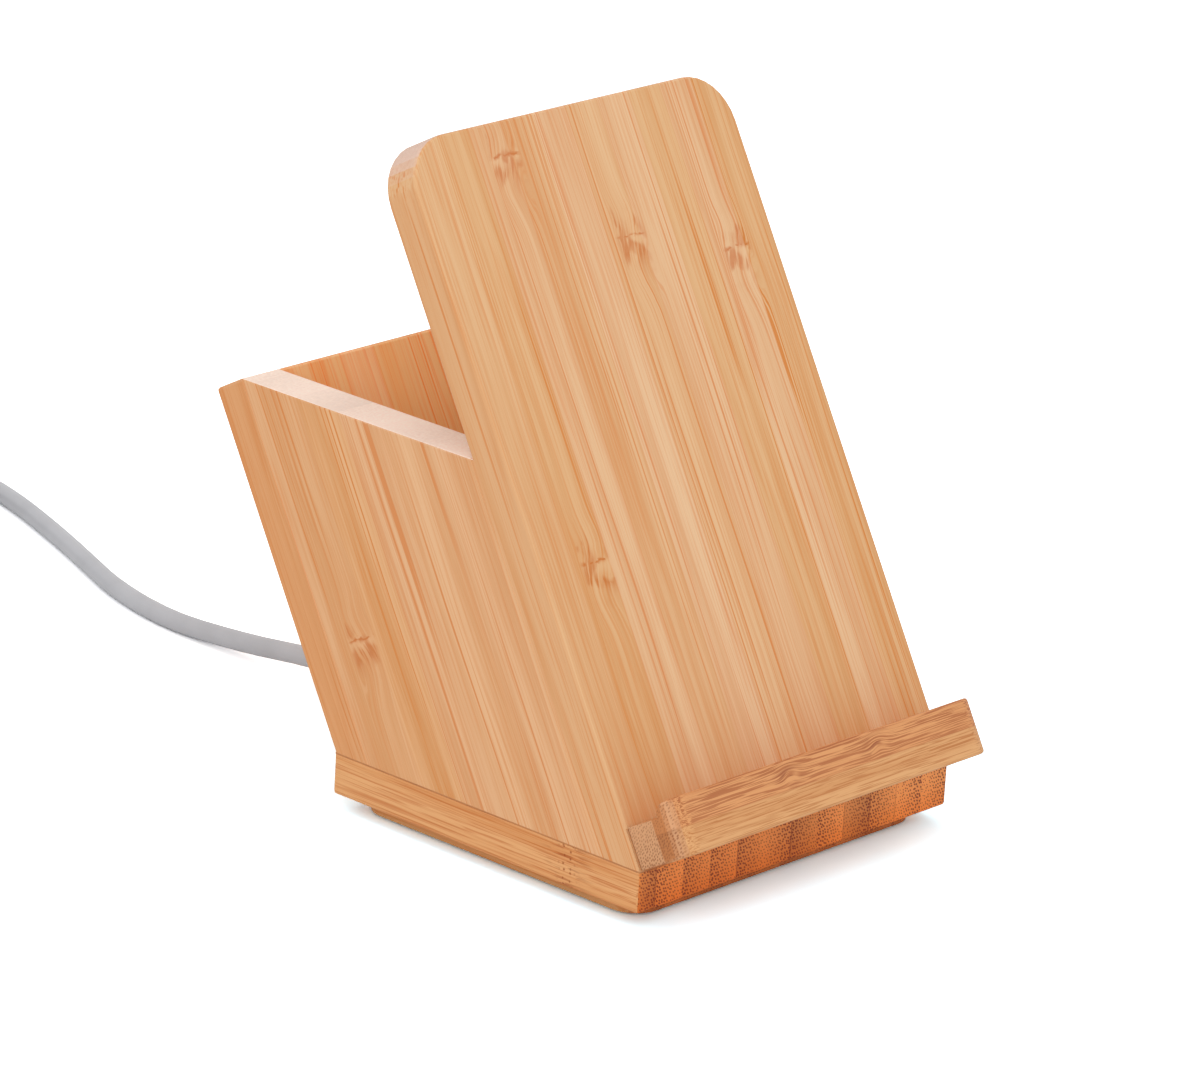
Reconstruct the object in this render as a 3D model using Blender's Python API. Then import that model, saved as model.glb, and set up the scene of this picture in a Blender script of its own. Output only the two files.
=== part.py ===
"""Wireless charger with a pen holder, in bamboo, and its USB lead. Blender 4.5, metres, +Z up.

It stands on the plane Z = 0, its charging side towards -Y and +X to the right. The four boards of
the body lean back. What sits in them is placed in the leaning frame: X across, Y the depth
behind the front panel's face, Z the distance up its slope from the panel's bottom front edge.
"""

from math import asin, ceil, cos, pi, radians, sin, tan

import bmesh
import bpy
from mathutils import Vector

# Whole object
WIDTH = 0.075
LEAN = radians(29.5)
JOINT_GAP = 0.0003
EASED_EDGE = 0.0005
OVERRUN = 0.002
FLOOR_GAP = 0.00003
FACING_SHARE = 0.999
ARC_STEPS = 8
SHIELD_STEPS = 48

# Anti-slip pads and the foot plate that carries them
PAD_RADIUS = 0.004
PAD_STANDOFF = 0.0004
PAD_RECESS = 0.0008
PAD_FROM_EDGE = 0.0075
FOOT_THICKNESS = 0.002
FOOT_INSET = 0.003
FOOT_CORNER = 0.005
FOOT_SCREW_FROM_EDGE = 0.0075
FOOT_SCREW_FROM_PAD = 0.011
FOOT_SCREW_LENGTH = 0.0066
FOOT_SCREW_RADIUS = 0.0013
FOOT_SCREW_HEAD_RADIUS = 0.0026
FOOT_SCREW_HEAD_HEIGHT = 0.0013
FOOT_SCREW_SINK = 0.0001

# Base slab, with the space for the electronics milled into its underside
SLAB_DEPTH = 0.067
SLAB_THICKNESS = 0.0069
FIELD_HEIGHT = 0.0006
FIELD_SET_BACK = 0.0025
CAVITY_HEADROOM = 0.0003
SOCKET_WALL = 0.004

# Leaning boards
PANEL_LENGTH = 0.120
PANEL_THICKNESS = 0.007
PANEL_CORNER = 0.009
SIDE_THICKNESS = 0.0085
REAR_THICKNESS = 0.0065
REAR_LENGTH = 0.062

# Rail with the shelf, the slot and the lip
SHELF_THICKNESS = 0.0072
SLOT_DEPTH = 0.0074
LIP_THICKNESS = 0.0033
LIP_HEIGHT = 0.0023
LIP_ROUND = 0.0021
RAIL_CORNER = 0.004

# Dowels
DOWEL_RADIUS = 0.002
DOWEL_LENGTH = 0.009
DOWEL_IN_BOARD = 0.0038
DOWEL_CHAMFER = 0.0004
WALL_DOWEL_FROM_END = 0.0155
BASE_DOWEL_FROM_END = 0.0105
RAIL_DOWEL_RADIUS = 0.0015
RAIL_DOWEL_LENGTH = 0.008
RAIL_DOWEL_COVER = 0.0011
RAIL_DOWEL_FROM_SIDE = 0.0135

# Charging coil in the front panel
PANEL_SKIN = 0.0018
COIL_HEIGHT = 0.050
COIL_RIM = 0.0035
COIL_INNER_RADIUS = 0.0102
COIL_LAST_TURN_SHARE = 0.25
COIL_TURN_GAP = 0.00045
COIL_POINTS_PER_TURN = 24
WIRE_RADIUS = 0.00055
WIRE_CROSSING_GAP = 0.00045
LEAD_SPACING = 0.0032
LEAD_BEND = 0.0024
LEAD_DIVE = 0.010
SHIELD_THICKNESS = 0.0008
SHIELD_RIM = 0.0007
SHIELD_INNER_RIM = 0.0013
POCKET_CLEARANCE = 0.0010
COVER_FROM_WALL = 0.001
COVER_ABOVE_COIL = 0.0075
COVER_CORNER = 0.003

# Circuit board in the base
BOARD_WIDTH = 0.034
BOARD_LENGTH = 0.028
BOARD_THICKNESS = 0.001
BOARD_CORNER = 0.0015
SIDE_LEDGE = 0.005
END_LEDGE = 0.0015
BOARD_SCREW_RADIUS = 0.0009
BOARD_SCREW_HEAD_RADIUS = 0.0016
BOARD_SCREW_HEAD_HEIGHT = 0.0007
BOARD_SCREW_LENGTH = 0.0045
PART_SPACING = 0.0008
CHIP_SIZE = (0.006, 0.006, 0.0009)
DRIVER_SIZE = (0.003, 0.004, 0.0009)
CAPACITOR_SIZE = (0.0032, 0.0025, 0.0024)
CAPACITOR_SPACING = 0.0012
INDUCTOR_SIZE = (0.0068, 0.0068, 0.0028)
TERMINAL_SIZE = (0.0020, 0.0024, 0.0014)
TERMINAL_FROM_FRONT = 0.0045
PART_CHAMFER = 0.0003

# USB-C socket and plug
SOCKET_WIDTH = 0.0092
SOCKET_HEIGHT = 0.0034
SOCKET_LENGTH = 0.0075
SOCKET_WALL_METAL = 0.00022
SOCKET_SET_BACK = 0.0005
SOCKET_BACK_WALL = 0.0012
TONGUE_CLEARANCE = 0.0008
TONGUE_THICKNESS = 0.0007
TONGUE_LENGTH = 0.0044
PLUG_CLEARANCE = 0.00028
PLUG_SHELL_WALL = 0.0003
PLUG_SHELL_LENGTH = 0.0060
PLUG_WIDTH = 0.0112
PLUG_HEIGHT = 0.0060
PLUG_LENGTH = 0.0175
PLUG_STANDOFF = 0.0006
PLUG_CORNER_SHARE = 0.36
PLUG_EDGE_SHARE = 0.12
PLUG_SHOULDER_SHARE = 0.86
PLUG_NECK_SHARES = (0.58, 0.82)
RELIEF_LENGTH = 0.0095
RELIEF_RADIUS = 0.0026
RELIEF_RIBS = 4
RELIEF_GROOVE = 0.0003
RIB_SHARES = ((0.0, False), (0.55, False), (0.62, True), (0.93, True))
ROUND_SHARE = 0.9

# USB-A plug at the lead's far end
A_SHELL_WIDTH = 0.012
A_SHELL_HEIGHT = 0.0045
A_SHELL_WALL = 0.0004
A_SHELL_LENGTH = 0.012
A_TONGUE_THICKNESS = 0.0018
A_TONGUE_SET_BACK = 0.0009
A_WINDOW = 0.0022
A_WINDOW_SPACING = 0.005
A_WINDOW_FROM_END = 0.0045
A_PLUG_WIDTH = 0.0156
A_PLUG_HEIGHT = 0.0076
A_PLUG_LENGTH = 0.021

# Lead
LEAD_RADIUS = 0.00175
LEAD_SMOOTH_STEP = 0.0085
HANK_CENTRE = (0.0, 0.197)
HANK_LOOPS = 7
HANK_GAP = 0.0005
HANK_MEAN_RADIUS = 0.0192
HANK_START = radians(-5.0)
HANK_POINTS_PER_LOOP = 24
STRAIGHT_END = 0.0035

# Route of the lead's free stretch from the plug to the coil: (x, y, z), laid by hand
LEAD_ROUTE = (
    (0.0000, 0.0600, 0.00560),
    (0.0003, 0.0690, 0.00470),
    (0.0007, 0.0780, 0.00340),
    (0.0010, 0.0880, 0.00235),
    (0.0010, 0.0980, 0.00183),
    (0.0022, 0.1080, 0.00178),
    (0.0052, 0.1190, 0.00178),
    (0.0093, 0.1290, 0.00178),
    (0.0135, 0.1390, 0.00178),
    (0.0178, 0.1500, 0.00178),
    (0.0217, 0.1610, 0.00178),
    (0.0246, 0.1720, 0.00178),
    (0.0256, 0.1820, 0.00178),
)

# Route of the short stretch from the coil to the USB-A plug
TAIL_ROUTE = (
    (0.0266, 0.2040, 0.00560),
    (0.0261, 0.2110, 0.00510),
    (0.0240, 0.2180, 0.00440),
    (0.0200, 0.2245, 0.00390),
    (0.0144, 0.2293, 0.00383),
    (0.0075, 0.2320, 0.00383),
    (0.0010, 0.2327, 0.00383),
)

# Worked out from the sizes above
HALF = WIDTH / 2
RAIL_REACH = SLOT_DEPTH + LIP_THICKNESS
RAIL_HEIGHT = SHELF_THICKNESS + LIP_HEIGHT
BODY_DEPTH = SLAB_DEPTH * cos(LEAN)
REAR_TOP = SLAB_DEPTH * sin(LEAN) + REAR_LENGTH
REAR_INNER = BODY_DEPTH - REAR_THICKNESS
FRONT_OVERHANG = RAIL_REACH * cos(LEAN)
REAR_OVERHANG = REAR_LENGTH * sin(LEAN)
SLAB_FRONT = (FRONT_OVERHANG - SLAB_DEPTH - REAR_OVERHANG) / 2
SLAB_REAR = SLAB_FRONT + SLAB_DEPTH
FOOT_TOP = PAD_STANDOFF + FOOT_THICKNESS
SLAB_BOTTOM = FOOT_TOP + JOINT_GAP
SLAB_TOP = SLAB_BOTTOM + SLAB_THICKNESS
BODY_BOTTOM = SLAB_TOP + JOINT_GAP
SIDE_CENTRE = HALF - SIDE_THICKNESS / 2
BOARD_BOTTOM = SLAB_BOTTOM
PARTS_BOTTOM = BOARD_BOTTOM + BOARD_THICKNESS + JOINT_GAP
CAVITY_TOP = PARTS_BOTTOM + SOCKET_HEIGHT + CAVITY_HEADROOM
CAVITY_HALF = BOARD_WIDTH / 2 - SIDE_LEDGE
BOARD_REAR = SLAB_REAR - SOCKET_WALL - JOINT_GAP
BOARD_CENTRE = BOARD_REAR - BOARD_LENGTH / 2
SOCKET_MIDDLE = PARTS_BOTTOM + SOCKET_HEIGHT / 2
SOCKET_MOUTH = SLAB_REAR - SOCKET_SET_BACK
SOCKET_FRONT = SOCKET_MOUTH - SOCKET_LENGTH
PLUG_SHELL_WIDTH = SOCKET_WIDTH - 2 * (SOCKET_WALL_METAL + PLUG_CLEARANCE)
PLUG_SHELL_HEIGHT = SOCKET_HEIGHT - 2 * (SOCKET_WALL_METAL + PLUG_CLEARANCE)
TONGUE_WIDTH = PLUG_SHELL_WIDTH - 2 * (PLUG_SHELL_WALL + TONGUE_CLEARANCE)
COVER_HALF = HALF - SIDE_THICKNESS - COVER_FROM_WALL
COIL_OUTER_RADIUS = COVER_HALF - COIL_RIM
COIL_PITCH = 2 * WIRE_RADIUS + COIL_TURN_GAP
COIL_TURNS = (COIL_OUTER_RADIUS - COIL_INNER_RADIUS) // COIL_PITCH + COIL_LAST_TURN_SHARE
COVER_TOP = COIL_HEIGHT + COIL_OUTER_RADIUS + COVER_ABOVE_COIL
COIL_DEPTH = PANEL_SKIN + JOINT_GAP + WIRE_RADIUS
CROSSING_DEPTH = COIL_DEPTH + 2 * WIRE_RADIUS + WIRE_CROSSING_GAP
SHIELD_FRONT = COIL_DEPTH + WIRE_RADIUS + JOINT_GAP
COVER_FRONT = CROSSING_DEPTH + WIRE_RADIUS + JOINT_GAP
REBATE_DEPTH = COVER_FRONT - JOINT_GAP
POCKET_RADIUS = COIL_OUTER_RADIUS + WIRE_RADIUS + POCKET_CLEARANCE
CHANNEL_HALF = LEAD_SPACING / 2 + WIRE_RADIUS + JOINT_GAP
WIRE_RUN_HEIGHT = PARTS_BOTTOM + WIRE_RADIUS + JOINT_GAP
PLUG_FRONT = SLAB_REAR + PLUG_STANDOFF
A_PLUG_MIDDLE = A_PLUG_HEIGHT / 2 + FLOOR_GAP
HANK_PITCH = 2 * LEAD_RADIUS + HANK_GAP


UP = (0, 0, 1)
BACK = (0, 1, 0)
FRONT = (0, -1, 0)


def clear_scene():
    for obj in list(bpy.data.objects):
        bpy.data.objects.remove(obj, do_unlink=True)


def finish(name, colour, roughness, metallic=0.0):
    """A Principled material with one colour."""
    material = bpy.data.materials.new(name)
    material.use_nodes = True
    shader = material.node_tree.nodes["Principled BSDF"]
    shader.inputs["Base Color"].default_value = (*colour, 1)
    shader.inputs["Roughness"].default_value = roughness
    shader.inputs["Metallic"].default_value = metallic
    return material


def object_from(name, bm, material, frame=None):
    """Closes a bmesh with its faces pointing out and makes it an object, in a frame if one is given."""
    bmesh.ops.recalc_face_normals(bm, faces=bm.faces)
    mesh = bpy.data.meshes.new(name)
    bm.to_mesh(mesh)
    bm.free()
    obj = bpy.data.objects.new(name, mesh)
    bpy.context.scene.collection.objects.link(obj)
    obj.parent = frame
    if material:
        mesh.materials.append(material)
        mesh.shade_smooth()
        mesh.set_sharp_from_angle(angle=radians(30))
    return obj


def add_prism(bm, first, last):
    """Adds a solid between two loops with the same number of points."""
    start = [bm.verts.new(point) for point in first]
    end = [bm.verts.new(point) for point in last]
    bm.faces.new(start)
    bm.faces.new(end)
    for i in range(len(start)):
        j = (i + 1) % len(start)
        bm.faces.new((start[i], start[j], end[j], end[i]))


def prism(name, first, last, material=None, frame=None):
    bm = bmesh.new()
    add_prism(bm, first, last)
    return object_from(name, bm, material, frame)


def box(name, low, high, material=None, frame=None):
    """A block between two corners."""
    outline = [(low[0], low[1]), (high[0], low[1]), (high[0], high[1]), (low[0], high[1])]
    first = [(x, y, low[2]) for x, y in outline]
    last = [(x, y, high[2]) for x, y in outline]
    return prism(name, first, last, material, frame)


def rounded_outline(half_width, half_height, radius, steps=ARC_STEPS):
    """Points round a rectangle with round corners, centred on zero, anticlockwise."""
    points = []
    corners = ((1, 1, 0), (-1, 1, 1), (-1, -1, 2), (1, -1, 3))
    for sign_x, sign_y, quarter in corners:
        for k in range(steps + 1):
            angle = (quarter + k / steps) * pi / 2
            x = sign_x * (half_width - radius) + radius * cos(angle)
            y = sign_y * (half_height - radius) + radius * sin(angle)
            points.append((x, y))
    return points


def add_turned(bm, profile, centre, axis, sides):
    """Adds a turned solid: profile points are (radius, distance along the axis), first and last on it."""
    axis = Vector(axis).normalized()
    across = axis.orthogonal().normalized()
    other = axis.cross(across)
    centre = Vector(centre)
    rings = []
    for radius, along in profile[1:-1]:
        ring = []
        for k in range(sides):
            angle = 2 * pi * k / sides
            spoke = across * cos(angle) + other * sin(angle)
            ring.append(bm.verts.new(centre + axis * along + spoke * radius))
        rings.append(ring)
    first = bm.verts.new(centre + axis * profile[0][1])
    last = bm.verts.new(centre + axis * profile[-1][1])
    for k in range(sides):
        j = (k + 1) % sides
        bm.faces.new((first, rings[0][k], rings[0][j]))
        bm.faces.new((last, rings[-1][j], rings[-1][k]))
        for lower, upper in zip(rings, rings[1:]):
            bm.faces.new((lower[k], upper[k], upper[j], lower[j]))


def rod_profile(radius, length, chamfer=0.0):
    if chamfer:
        return [(0, 0), (radius - chamfer, 0), (radius, chamfer), (radius, length - chamfer),
                (radius - chamfer, length), (0, length)]
    return [(0, 0), (radius, 0), (radius, length), (0, length)]


def ease_edges(obj, picks, width=EASED_EDGE, segments=2):
    """Rounds off the edges whose middle passes the test."""
    bm = bmesh.new()
    bm.from_mesh(obj.data)
    edges = [e for e in bm.edges if picks((e.verts[0].co + e.verts[1].co) / 2, e)]
    bmesh.ops.bevel(bm, geom=edges, offset=width, offset_type="OFFSET", segments=segments,
                    profile=0.5, affect="EDGES", clamp_overlap=True)
    bm.to_mesh(obj.data)
    bm.free()
    obj.data.shade_smooth()
    obj.data.set_sharp_from_angle(angle=radians(50))


def trim_level(obj):
    """Cuts a leaning board off along the level plane through its frame's origin."""
    bm = bmesh.new()
    bm.from_mesh(obj.data)
    result = bmesh.ops.bisect_plane(bm, geom=[*bm.verts, *bm.edges, *bm.faces], dist=EASED_EDGE / 1000,
                                    plane_co=(0, 0, 0), plane_no=(0, sin(LEAN), -cos(LEAN)), clear_outer=True)
    rim = [item for item in result["geom_cut"] if isinstance(item, bmesh.types.BMEdge)]
    bmesh.ops.edgeloop_fill(bm, edges=rim)
    bmesh.ops.recalc_face_normals(bm, faces=bm.faces)
    bm.to_mesh(obj.data)
    bm.free()
    obj.data.shade_smooth()
    obj.data.set_sharp_from_angle(angle=radians(50))


def score(obj, facing, place, across):
    """Divides a board's face along a plane, so that the part of it in use is a face of its own."""
    bm = bmesh.new()
    bm.from_mesh(obj.data)
    faces = [face for face in bm.faces if face.normal.dot(Vector(facing)) > FACING_SHARE]
    edges = {edge for face in faces for edge in face.edges}
    verts = {vert for face in faces for vert in face.verts}
    bmesh.ops.bisect_plane(bm, geom=[*verts, *edges, *faces], dist=EASED_EDGE / 1000,
                           plane_co=place, plane_no=across)
    bm.to_mesh(obj.data)
    bm.free()


def combine(target, tool, operation):
    """Adds a Boolean with a hidden tool."""
    tool.hide_render = True
    tool.display_type = "WIRE"
    modifier = target.modifiers.new(tool.name, "BOOLEAN")
    modifier.object = tool
    modifier.operation = operation
    modifier.solver = "EXACT"


def cut(target, *tools):
    for tool in tools:
        combine(target, tool, "DIFFERENCE")


def rods(name, starts, axis, radius, length, frame=None, sides=16):
    """A cutter with a rod at each place."""
    bm = bmesh.new()
    for start in starts:
        add_turned(bm, rod_profile(radius, length), start, axis, sides)
    return object_from(name, bm, None, frame)


def copies(name, bm, places, material, frame=None):
    """A numbered object at each place, all with one mesh made round the origin."""
    first = object_from(name + "_1", bm, material, frame)
    first.location = places[0]
    for number, place in enumerate(places[1:], 2):
        obj = bpy.data.objects.new(f"{name}_{number}", first.data)
        bpy.context.scene.collection.objects.link(obj)
        obj.parent = frame
        obj.location = place


def rod_copies(name, places, axis, radius, length, material, frame=None, chamfer=0.0, sides=16):
    bm = bmesh.new()
    add_turned(bm, rod_profile(radius, length, chamfer), (0, 0, 0), axis, sides)
    copies(name, bm, places, material, frame)


def tube(name, points, radius, resolution, material, frame=None):
    """A round tube along the points, its ends closed."""
    curve = bpy.data.curves.new(name, "CURVE")
    curve.dimensions = "3D"
    curve.bevel_depth = radius
    curve.bevel_resolution = resolution
    curve.use_fill_caps = True
    spline = curve.splines.new("POLY")
    spline.points.add(len(points) - 1)
    for knot, place in zip(spline.points, points):
        knot.co = (*place, 1)
    curve.materials.append(material)
    obj = bpy.data.objects.new(name, curve)
    bpy.context.scene.collection.objects.link(obj)
    obj.parent = frame
    return obj


def smooth_curve(points, step):
    """Reads a Catmull-Rom curve through the points at about even steps."""
    points = [Vector(p) for p in points]
    padded = [2 * points[0] - points[1], *points, 2 * points[-1] - points[-2]]
    result = []
    for before, start, end, after in zip(padded, padded[1:], padded[2:], padded[3:]):
        count = max(1, round((end - start).length / step))
        for k in range(count):
            t = k / count
            result.append(0.5 * (2 * start + (end - before) * t
                                 + (2 * before - 5 * start + 4 * end - after) * t * t
                                 + (3 * start - before - 3 * end + after) * t * t * t))
    result.append(points[-1])
    return result


def length_of(points):
    return sum((b - a).length for a, b in zip(points, points[1:]))


def least_gap(points, radius, skip):
    """The least clear distance between stretches of a tube that are more than skip apart along it."""
    along = [0.0]
    for a, b in zip(points, points[1:]):
        along.append(along[-1] + (b - a).length)
    least = None
    for i, a in enumerate(points):
        for j in range(i + 1, len(points) - 1):
            if along[j] - along[i] <= skip:
                continue
            start = points[j]
            run = points[j + 1] - start
            share = min(1.0, max(0.0, (a - start).dot(run) / run.dot(run)))
            gap = (a - start - run * share).length - 2 * radius
            least = gap if least is None else min(least, gap)
    return least


def lean_frame():
    """The frame of the leaning boards, on the panel's bottom front edge."""
    frame = bpy.data.objects.new("lean_frame", None)
    bpy.context.scene.collection.objects.link(frame)
    frame.location = (0, SLAB_FRONT, BODY_BOTTOM)
    frame.rotation_euler = (-LEAN, 0, 0)
    return frame


def level(depth):
    """The slope distance at which a level plane through the frame's origin meets this depth."""
    return depth * tan(LEAN)


def leaning(x, depth, height):
    """A point of the leaning frame in world coordinates."""
    y = SLAB_FRONT + depth * cos(LEAN) + height * sin(LEAN)
    z = BODY_BOTTOM - depth * sin(LEAN) + height * cos(LEAN)
    return Vector((x, y, z))


def base_slab(bamboo):
    """The board that everything stands on, hollowed from below for the electronics."""
    slab = box("base_slab", (-HALF, SLAB_FRONT, SLAB_BOTTOM), (HALF, SLAB_REAR, SLAB_TOP), bamboo)
    ease_edges(slab, lambda middle, edge: middle.z < SLAB_TOP - EASED_EDGE)
    combine(slab, box_field(), "UNION")
    half_board = BOARD_WIDTH / 2 + JOINT_GAP
    board_front = BOARD_REAR - BOARD_LENGTH
    below = SLAB_BOTTOM - OVERRUN
    recess = box("board_recess", (-half_board, board_front - JOINT_GAP, below),
                 (half_board, BOARD_REAR + JOINT_GAP, PARTS_BOTTOM))
    cavity = box("parts_cavity", (-CAVITY_HALF, board_front + END_LEDGE, below),
                 (CAVITY_HALF, BOARD_REAR - END_LEDGE, CAVITY_TOP))
    half_socket = SOCKET_WIDTH / 2 + JOINT_GAP
    socket_hole = box("socket_hole", (-half_socket, BOARD_REAR - 2 * END_LEDGE, PARTS_BOTTOM),
                      (half_socket, SLAB_REAR + OVERRUN, CAVITY_TOP))
    hole_front, hole_rear = wire_hole_ends()
    groove = box("wire_groove", (-CHANNEL_HALF, hole_front, below),
                 (CHANNEL_HALF, board_front + 2 * END_LEDGE, WIRE_RUN_HEIGHT + WIRE_RADIUS + JOINT_GAP))
    hole = box("wire_hole", (-CHANNEL_HALF, hole_front, below),
               (CHANNEL_HALF, hole_rear, SLAB_TOP + OVERRUN))
    pilots = rods("slab_pilot_holes", [(x, y, below) for x, y in foot_screw_places()], UP,
                  FOOT_SCREW_RADIUS + JOINT_GAP, foot_screw_tip() + JOINT_GAP - below)
    board_pilots = rods("board_pilot_holes", [(x, y, below) for x, y in board_screw_places()], UP,
                        BOARD_SCREW_RADIUS + JOINT_GAP, board_screw_tip() + JOINT_GAP - below, sides=12)
    cut(slab, recess, cavity, socket_hole, groove, hole, pilots, board_pilots,
        base_dowel_holes("slab_dowel_holes"))
    return slab


def box_field():
    """The low raised field on the slab that the pen box is set round when it is glued on. It is the
    box's floor, and its front edge stays clear of the panel that leans over it."""
    side = HALF - SIDE_THICKNESS - JOINT_GAP
    front = SLAB_FRONT + PANEL_THICKNESS / cos(LEAN) + FIELD_SET_BACK
    rear = SLAB_FRONT + REAR_INNER / cos(LEAN) - JOINT_GAP
    return box("box_field", (-side, front, SLAB_TOP - OVERRUN), (side, rear, SLAB_TOP + FIELD_HEIGHT))


def foot_plate(bamboo):
    """The thin board below that closes the electronics in and carries the pads."""
    half_depth = SLAB_DEPTH / 2 - FOOT_INSET
    middle = (SLAB_FRONT + SLAB_REAR) / 2
    outline = rounded_outline(HALF - FOOT_INSET, half_depth, FOOT_CORNER)
    plate = prism("foot_plate", [(x, middle + y, PAD_STANDOFF) for x, y in outline],
                  [(x, middle + y, FOOT_TOP) for x, y in outline], bamboo)
    recesses = rods("pad_recesses", [(x, y, PAD_STANDOFF - OVERRUN) for x, y in pad_places()], UP,
                    PAD_RADIUS + JOINT_GAP, PAD_RECESS + OVERRUN, sides=24)
    bm = bmesh.new()
    for place in foot_screw_places():
        add_turned(bm, foot_screw_profile(JOINT_GAP), (*place, foot_screw_bottom()), UP, 16)
    cut(plate, recesses, object_from("foot_screw_holes", bm, None))
    return plate


def foot_plate_corners(from_edge, from_end):
    x = HALF - FOOT_INSET - from_edge
    middle = (SLAB_FRONT + SLAB_REAR) / 2
    y = SLAB_DEPTH / 2 - FOOT_INSET - from_end
    return [(sign_x * x, middle + sign_y * y) for sign_y in (-1, 1) for sign_x in (-1, 1)]


def pad_places():
    return foot_plate_corners(PAD_FROM_EDGE, PAD_FROM_EDGE)


def foot_screw_places():
    return foot_plate_corners(FOOT_SCREW_FROM_EDGE, PAD_FROM_EDGE + FOOT_SCREW_FROM_PAD)


def foot_screw_bottom():
    return PAD_STANDOFF + FOOT_SCREW_SINK


def foot_screw_tip():
    return foot_screw_bottom() + FOOT_SCREW_LENGTH


def anti_slip_pads(silicone):
    """Soft discs in the foot plate's recesses, which touch the desk."""
    thickness = PAD_STANDOFF + PAD_RECESS - JOINT_GAP
    rod_copies("anti_slip_pad", [(x, y, 0) for x, y in pad_places()], UP, PAD_RADIUS, thickness, silicone,
               chamfer=PAD_STANDOFF / 2, sides=24)


def foot_screw_profile(clearance=0.0):
    """The countersunk screw, or with a clearance the hole for it in the foot plate."""
    head = FOOT_SCREW_HEAD_RADIUS + clearance
    shank = FOOT_SCREW_RADIUS + clearance
    neck = FOOT_SCREW_HEAD_HEIGHT + clearance
    point = 0.0 if clearance else FOOT_SCREW_RADIUS
    low = -OVERRUN if clearance else 0.0
    return [(0, low), (head, low), (head, PART_CHAMFER), (shank, neck), (shank, FOOT_SCREW_LENGTH - point),
            (0, FOOT_SCREW_LENGTH)]


def foot_screws(steel):
    """Four countersunk screws up through the foot plate into the slab."""
    bm = bmesh.new()
    add_turned(bm, foot_screw_profile(), (0, 0, 0), UP, 16)
    copies("foot_plate_screw", bm, [(x, y, foot_screw_bottom()) for x, y in foot_screw_places()], steel)


def base_dowel_starts():
    low = SLAB_TOP - DOWEL_IN_BOARD
    front = SLAB_FRONT + PANEL_THICKNESS / cos(LEAN) + BASE_DOWEL_FROM_END
    rear = SLAB_FRONT + REAR_INNER / cos(LEAN) - BASE_DOWEL_FROM_END
    return [(side * SIDE_CENTRE, y, low) for y in (front, rear) for side in (-1, 1)]


def base_dowel_holes(name):
    starts = [(x, y, z - JOINT_GAP) for x, y, z in base_dowel_starts()]
    return rods(name, starts, UP, DOWEL_RADIUS + JOINT_GAP, DOWEL_LENGTH + 2 * JOINT_GAP)


def base_dowels(beech):
    """Upright dowels between the slab and the side walls."""
    rod_copies("base_dowel", base_dowel_starts(), UP, DOWEL_RADIUS, DOWEL_LENGTH, beech,
               chamfer=DOWEL_CHAMFER)


def wall_dowel_starts():
    """Starts of the level dowels, in the leaning frame: panel to side walls, side walls to rear wall."""
    top = REAR_TOP - level(REAR_INNER)
    places = []
    for seam, depth in ((PANEL_THICKNESS, PANEL_THICKNESS - DOWEL_IN_BOARD),
                        (REAR_INNER, REAR_INNER + DOWEL_IN_BOARD - DOWEL_LENGTH)):
        places.append((depth, level(seam) + WALL_DOWEL_FROM_END))
        places.append((depth, level(seam) + top - WALL_DOWEL_FROM_END))
    return [(side * SIDE_CENTRE, depth, height) for depth, height in places for side in (-1, 1)]


def wall_dowel_holes(name, frame):
    starts = [(x, y - JOINT_GAP, z) for x, y, z in wall_dowel_starts()]
    return rods(name, starts, BACK, DOWEL_RADIUS + JOINT_GAP, DOWEL_LENGTH + 2 * JOINT_GAP, frame)


def wall_dowels(beech, frame):
    rod_copies("wall_dowel", wall_dowel_starts(), BACK, DOWEL_RADIUS, DOWEL_LENGTH, beech, frame,
               DOWEL_CHAMFER)


def rail_dowel_starts():
    start = DOWEL_IN_BOARD - RAIL_DOWEL_LENGTH
    height = SHELF_THICKNESS - RAIL_DOWEL_RADIUS - RAIL_DOWEL_COVER
    return [(side * (HALF - RAIL_DOWEL_FROM_SIDE), start, height) for side in (-1, 1)]


def rail_dowel_holes(name, frame):
    starts = [(x, y - JOINT_GAP, z) for x, y, z in rail_dowel_starts()]
    return rods(name, starts, BACK, RAIL_DOWEL_RADIUS + JOINT_GAP, RAIL_DOWEL_LENGTH + 2 * JOINT_GAP, frame)


def rail_dowels(beech, frame):
    rod_copies("rail_dowel", rail_dowel_starts(), BACK, RAIL_DOWEL_RADIUS, RAIL_DOWEL_LENGTH, beech, frame,
               DOWEL_CHAMFER)


def panel_outline():
    """The panel from the front, as (x, height): square at the foot, round at the two top corners."""
    points = [(-HALF, -OVERRUN), (HALF, -OVERRUN)]
    for side in (1, -1):
        for k in range(ARC_STEPS + 1):
            angle = k / ARC_STEPS * pi / 2
            if side < 0:
                angle = pi / 2 - angle
            x = side * (HALF - PANEL_CORNER + PANEL_CORNER * cos(angle))
            points.append((x, PANEL_LENGTH - PANEL_CORNER + PANEL_CORNER * sin(angle)))
    return points


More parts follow.
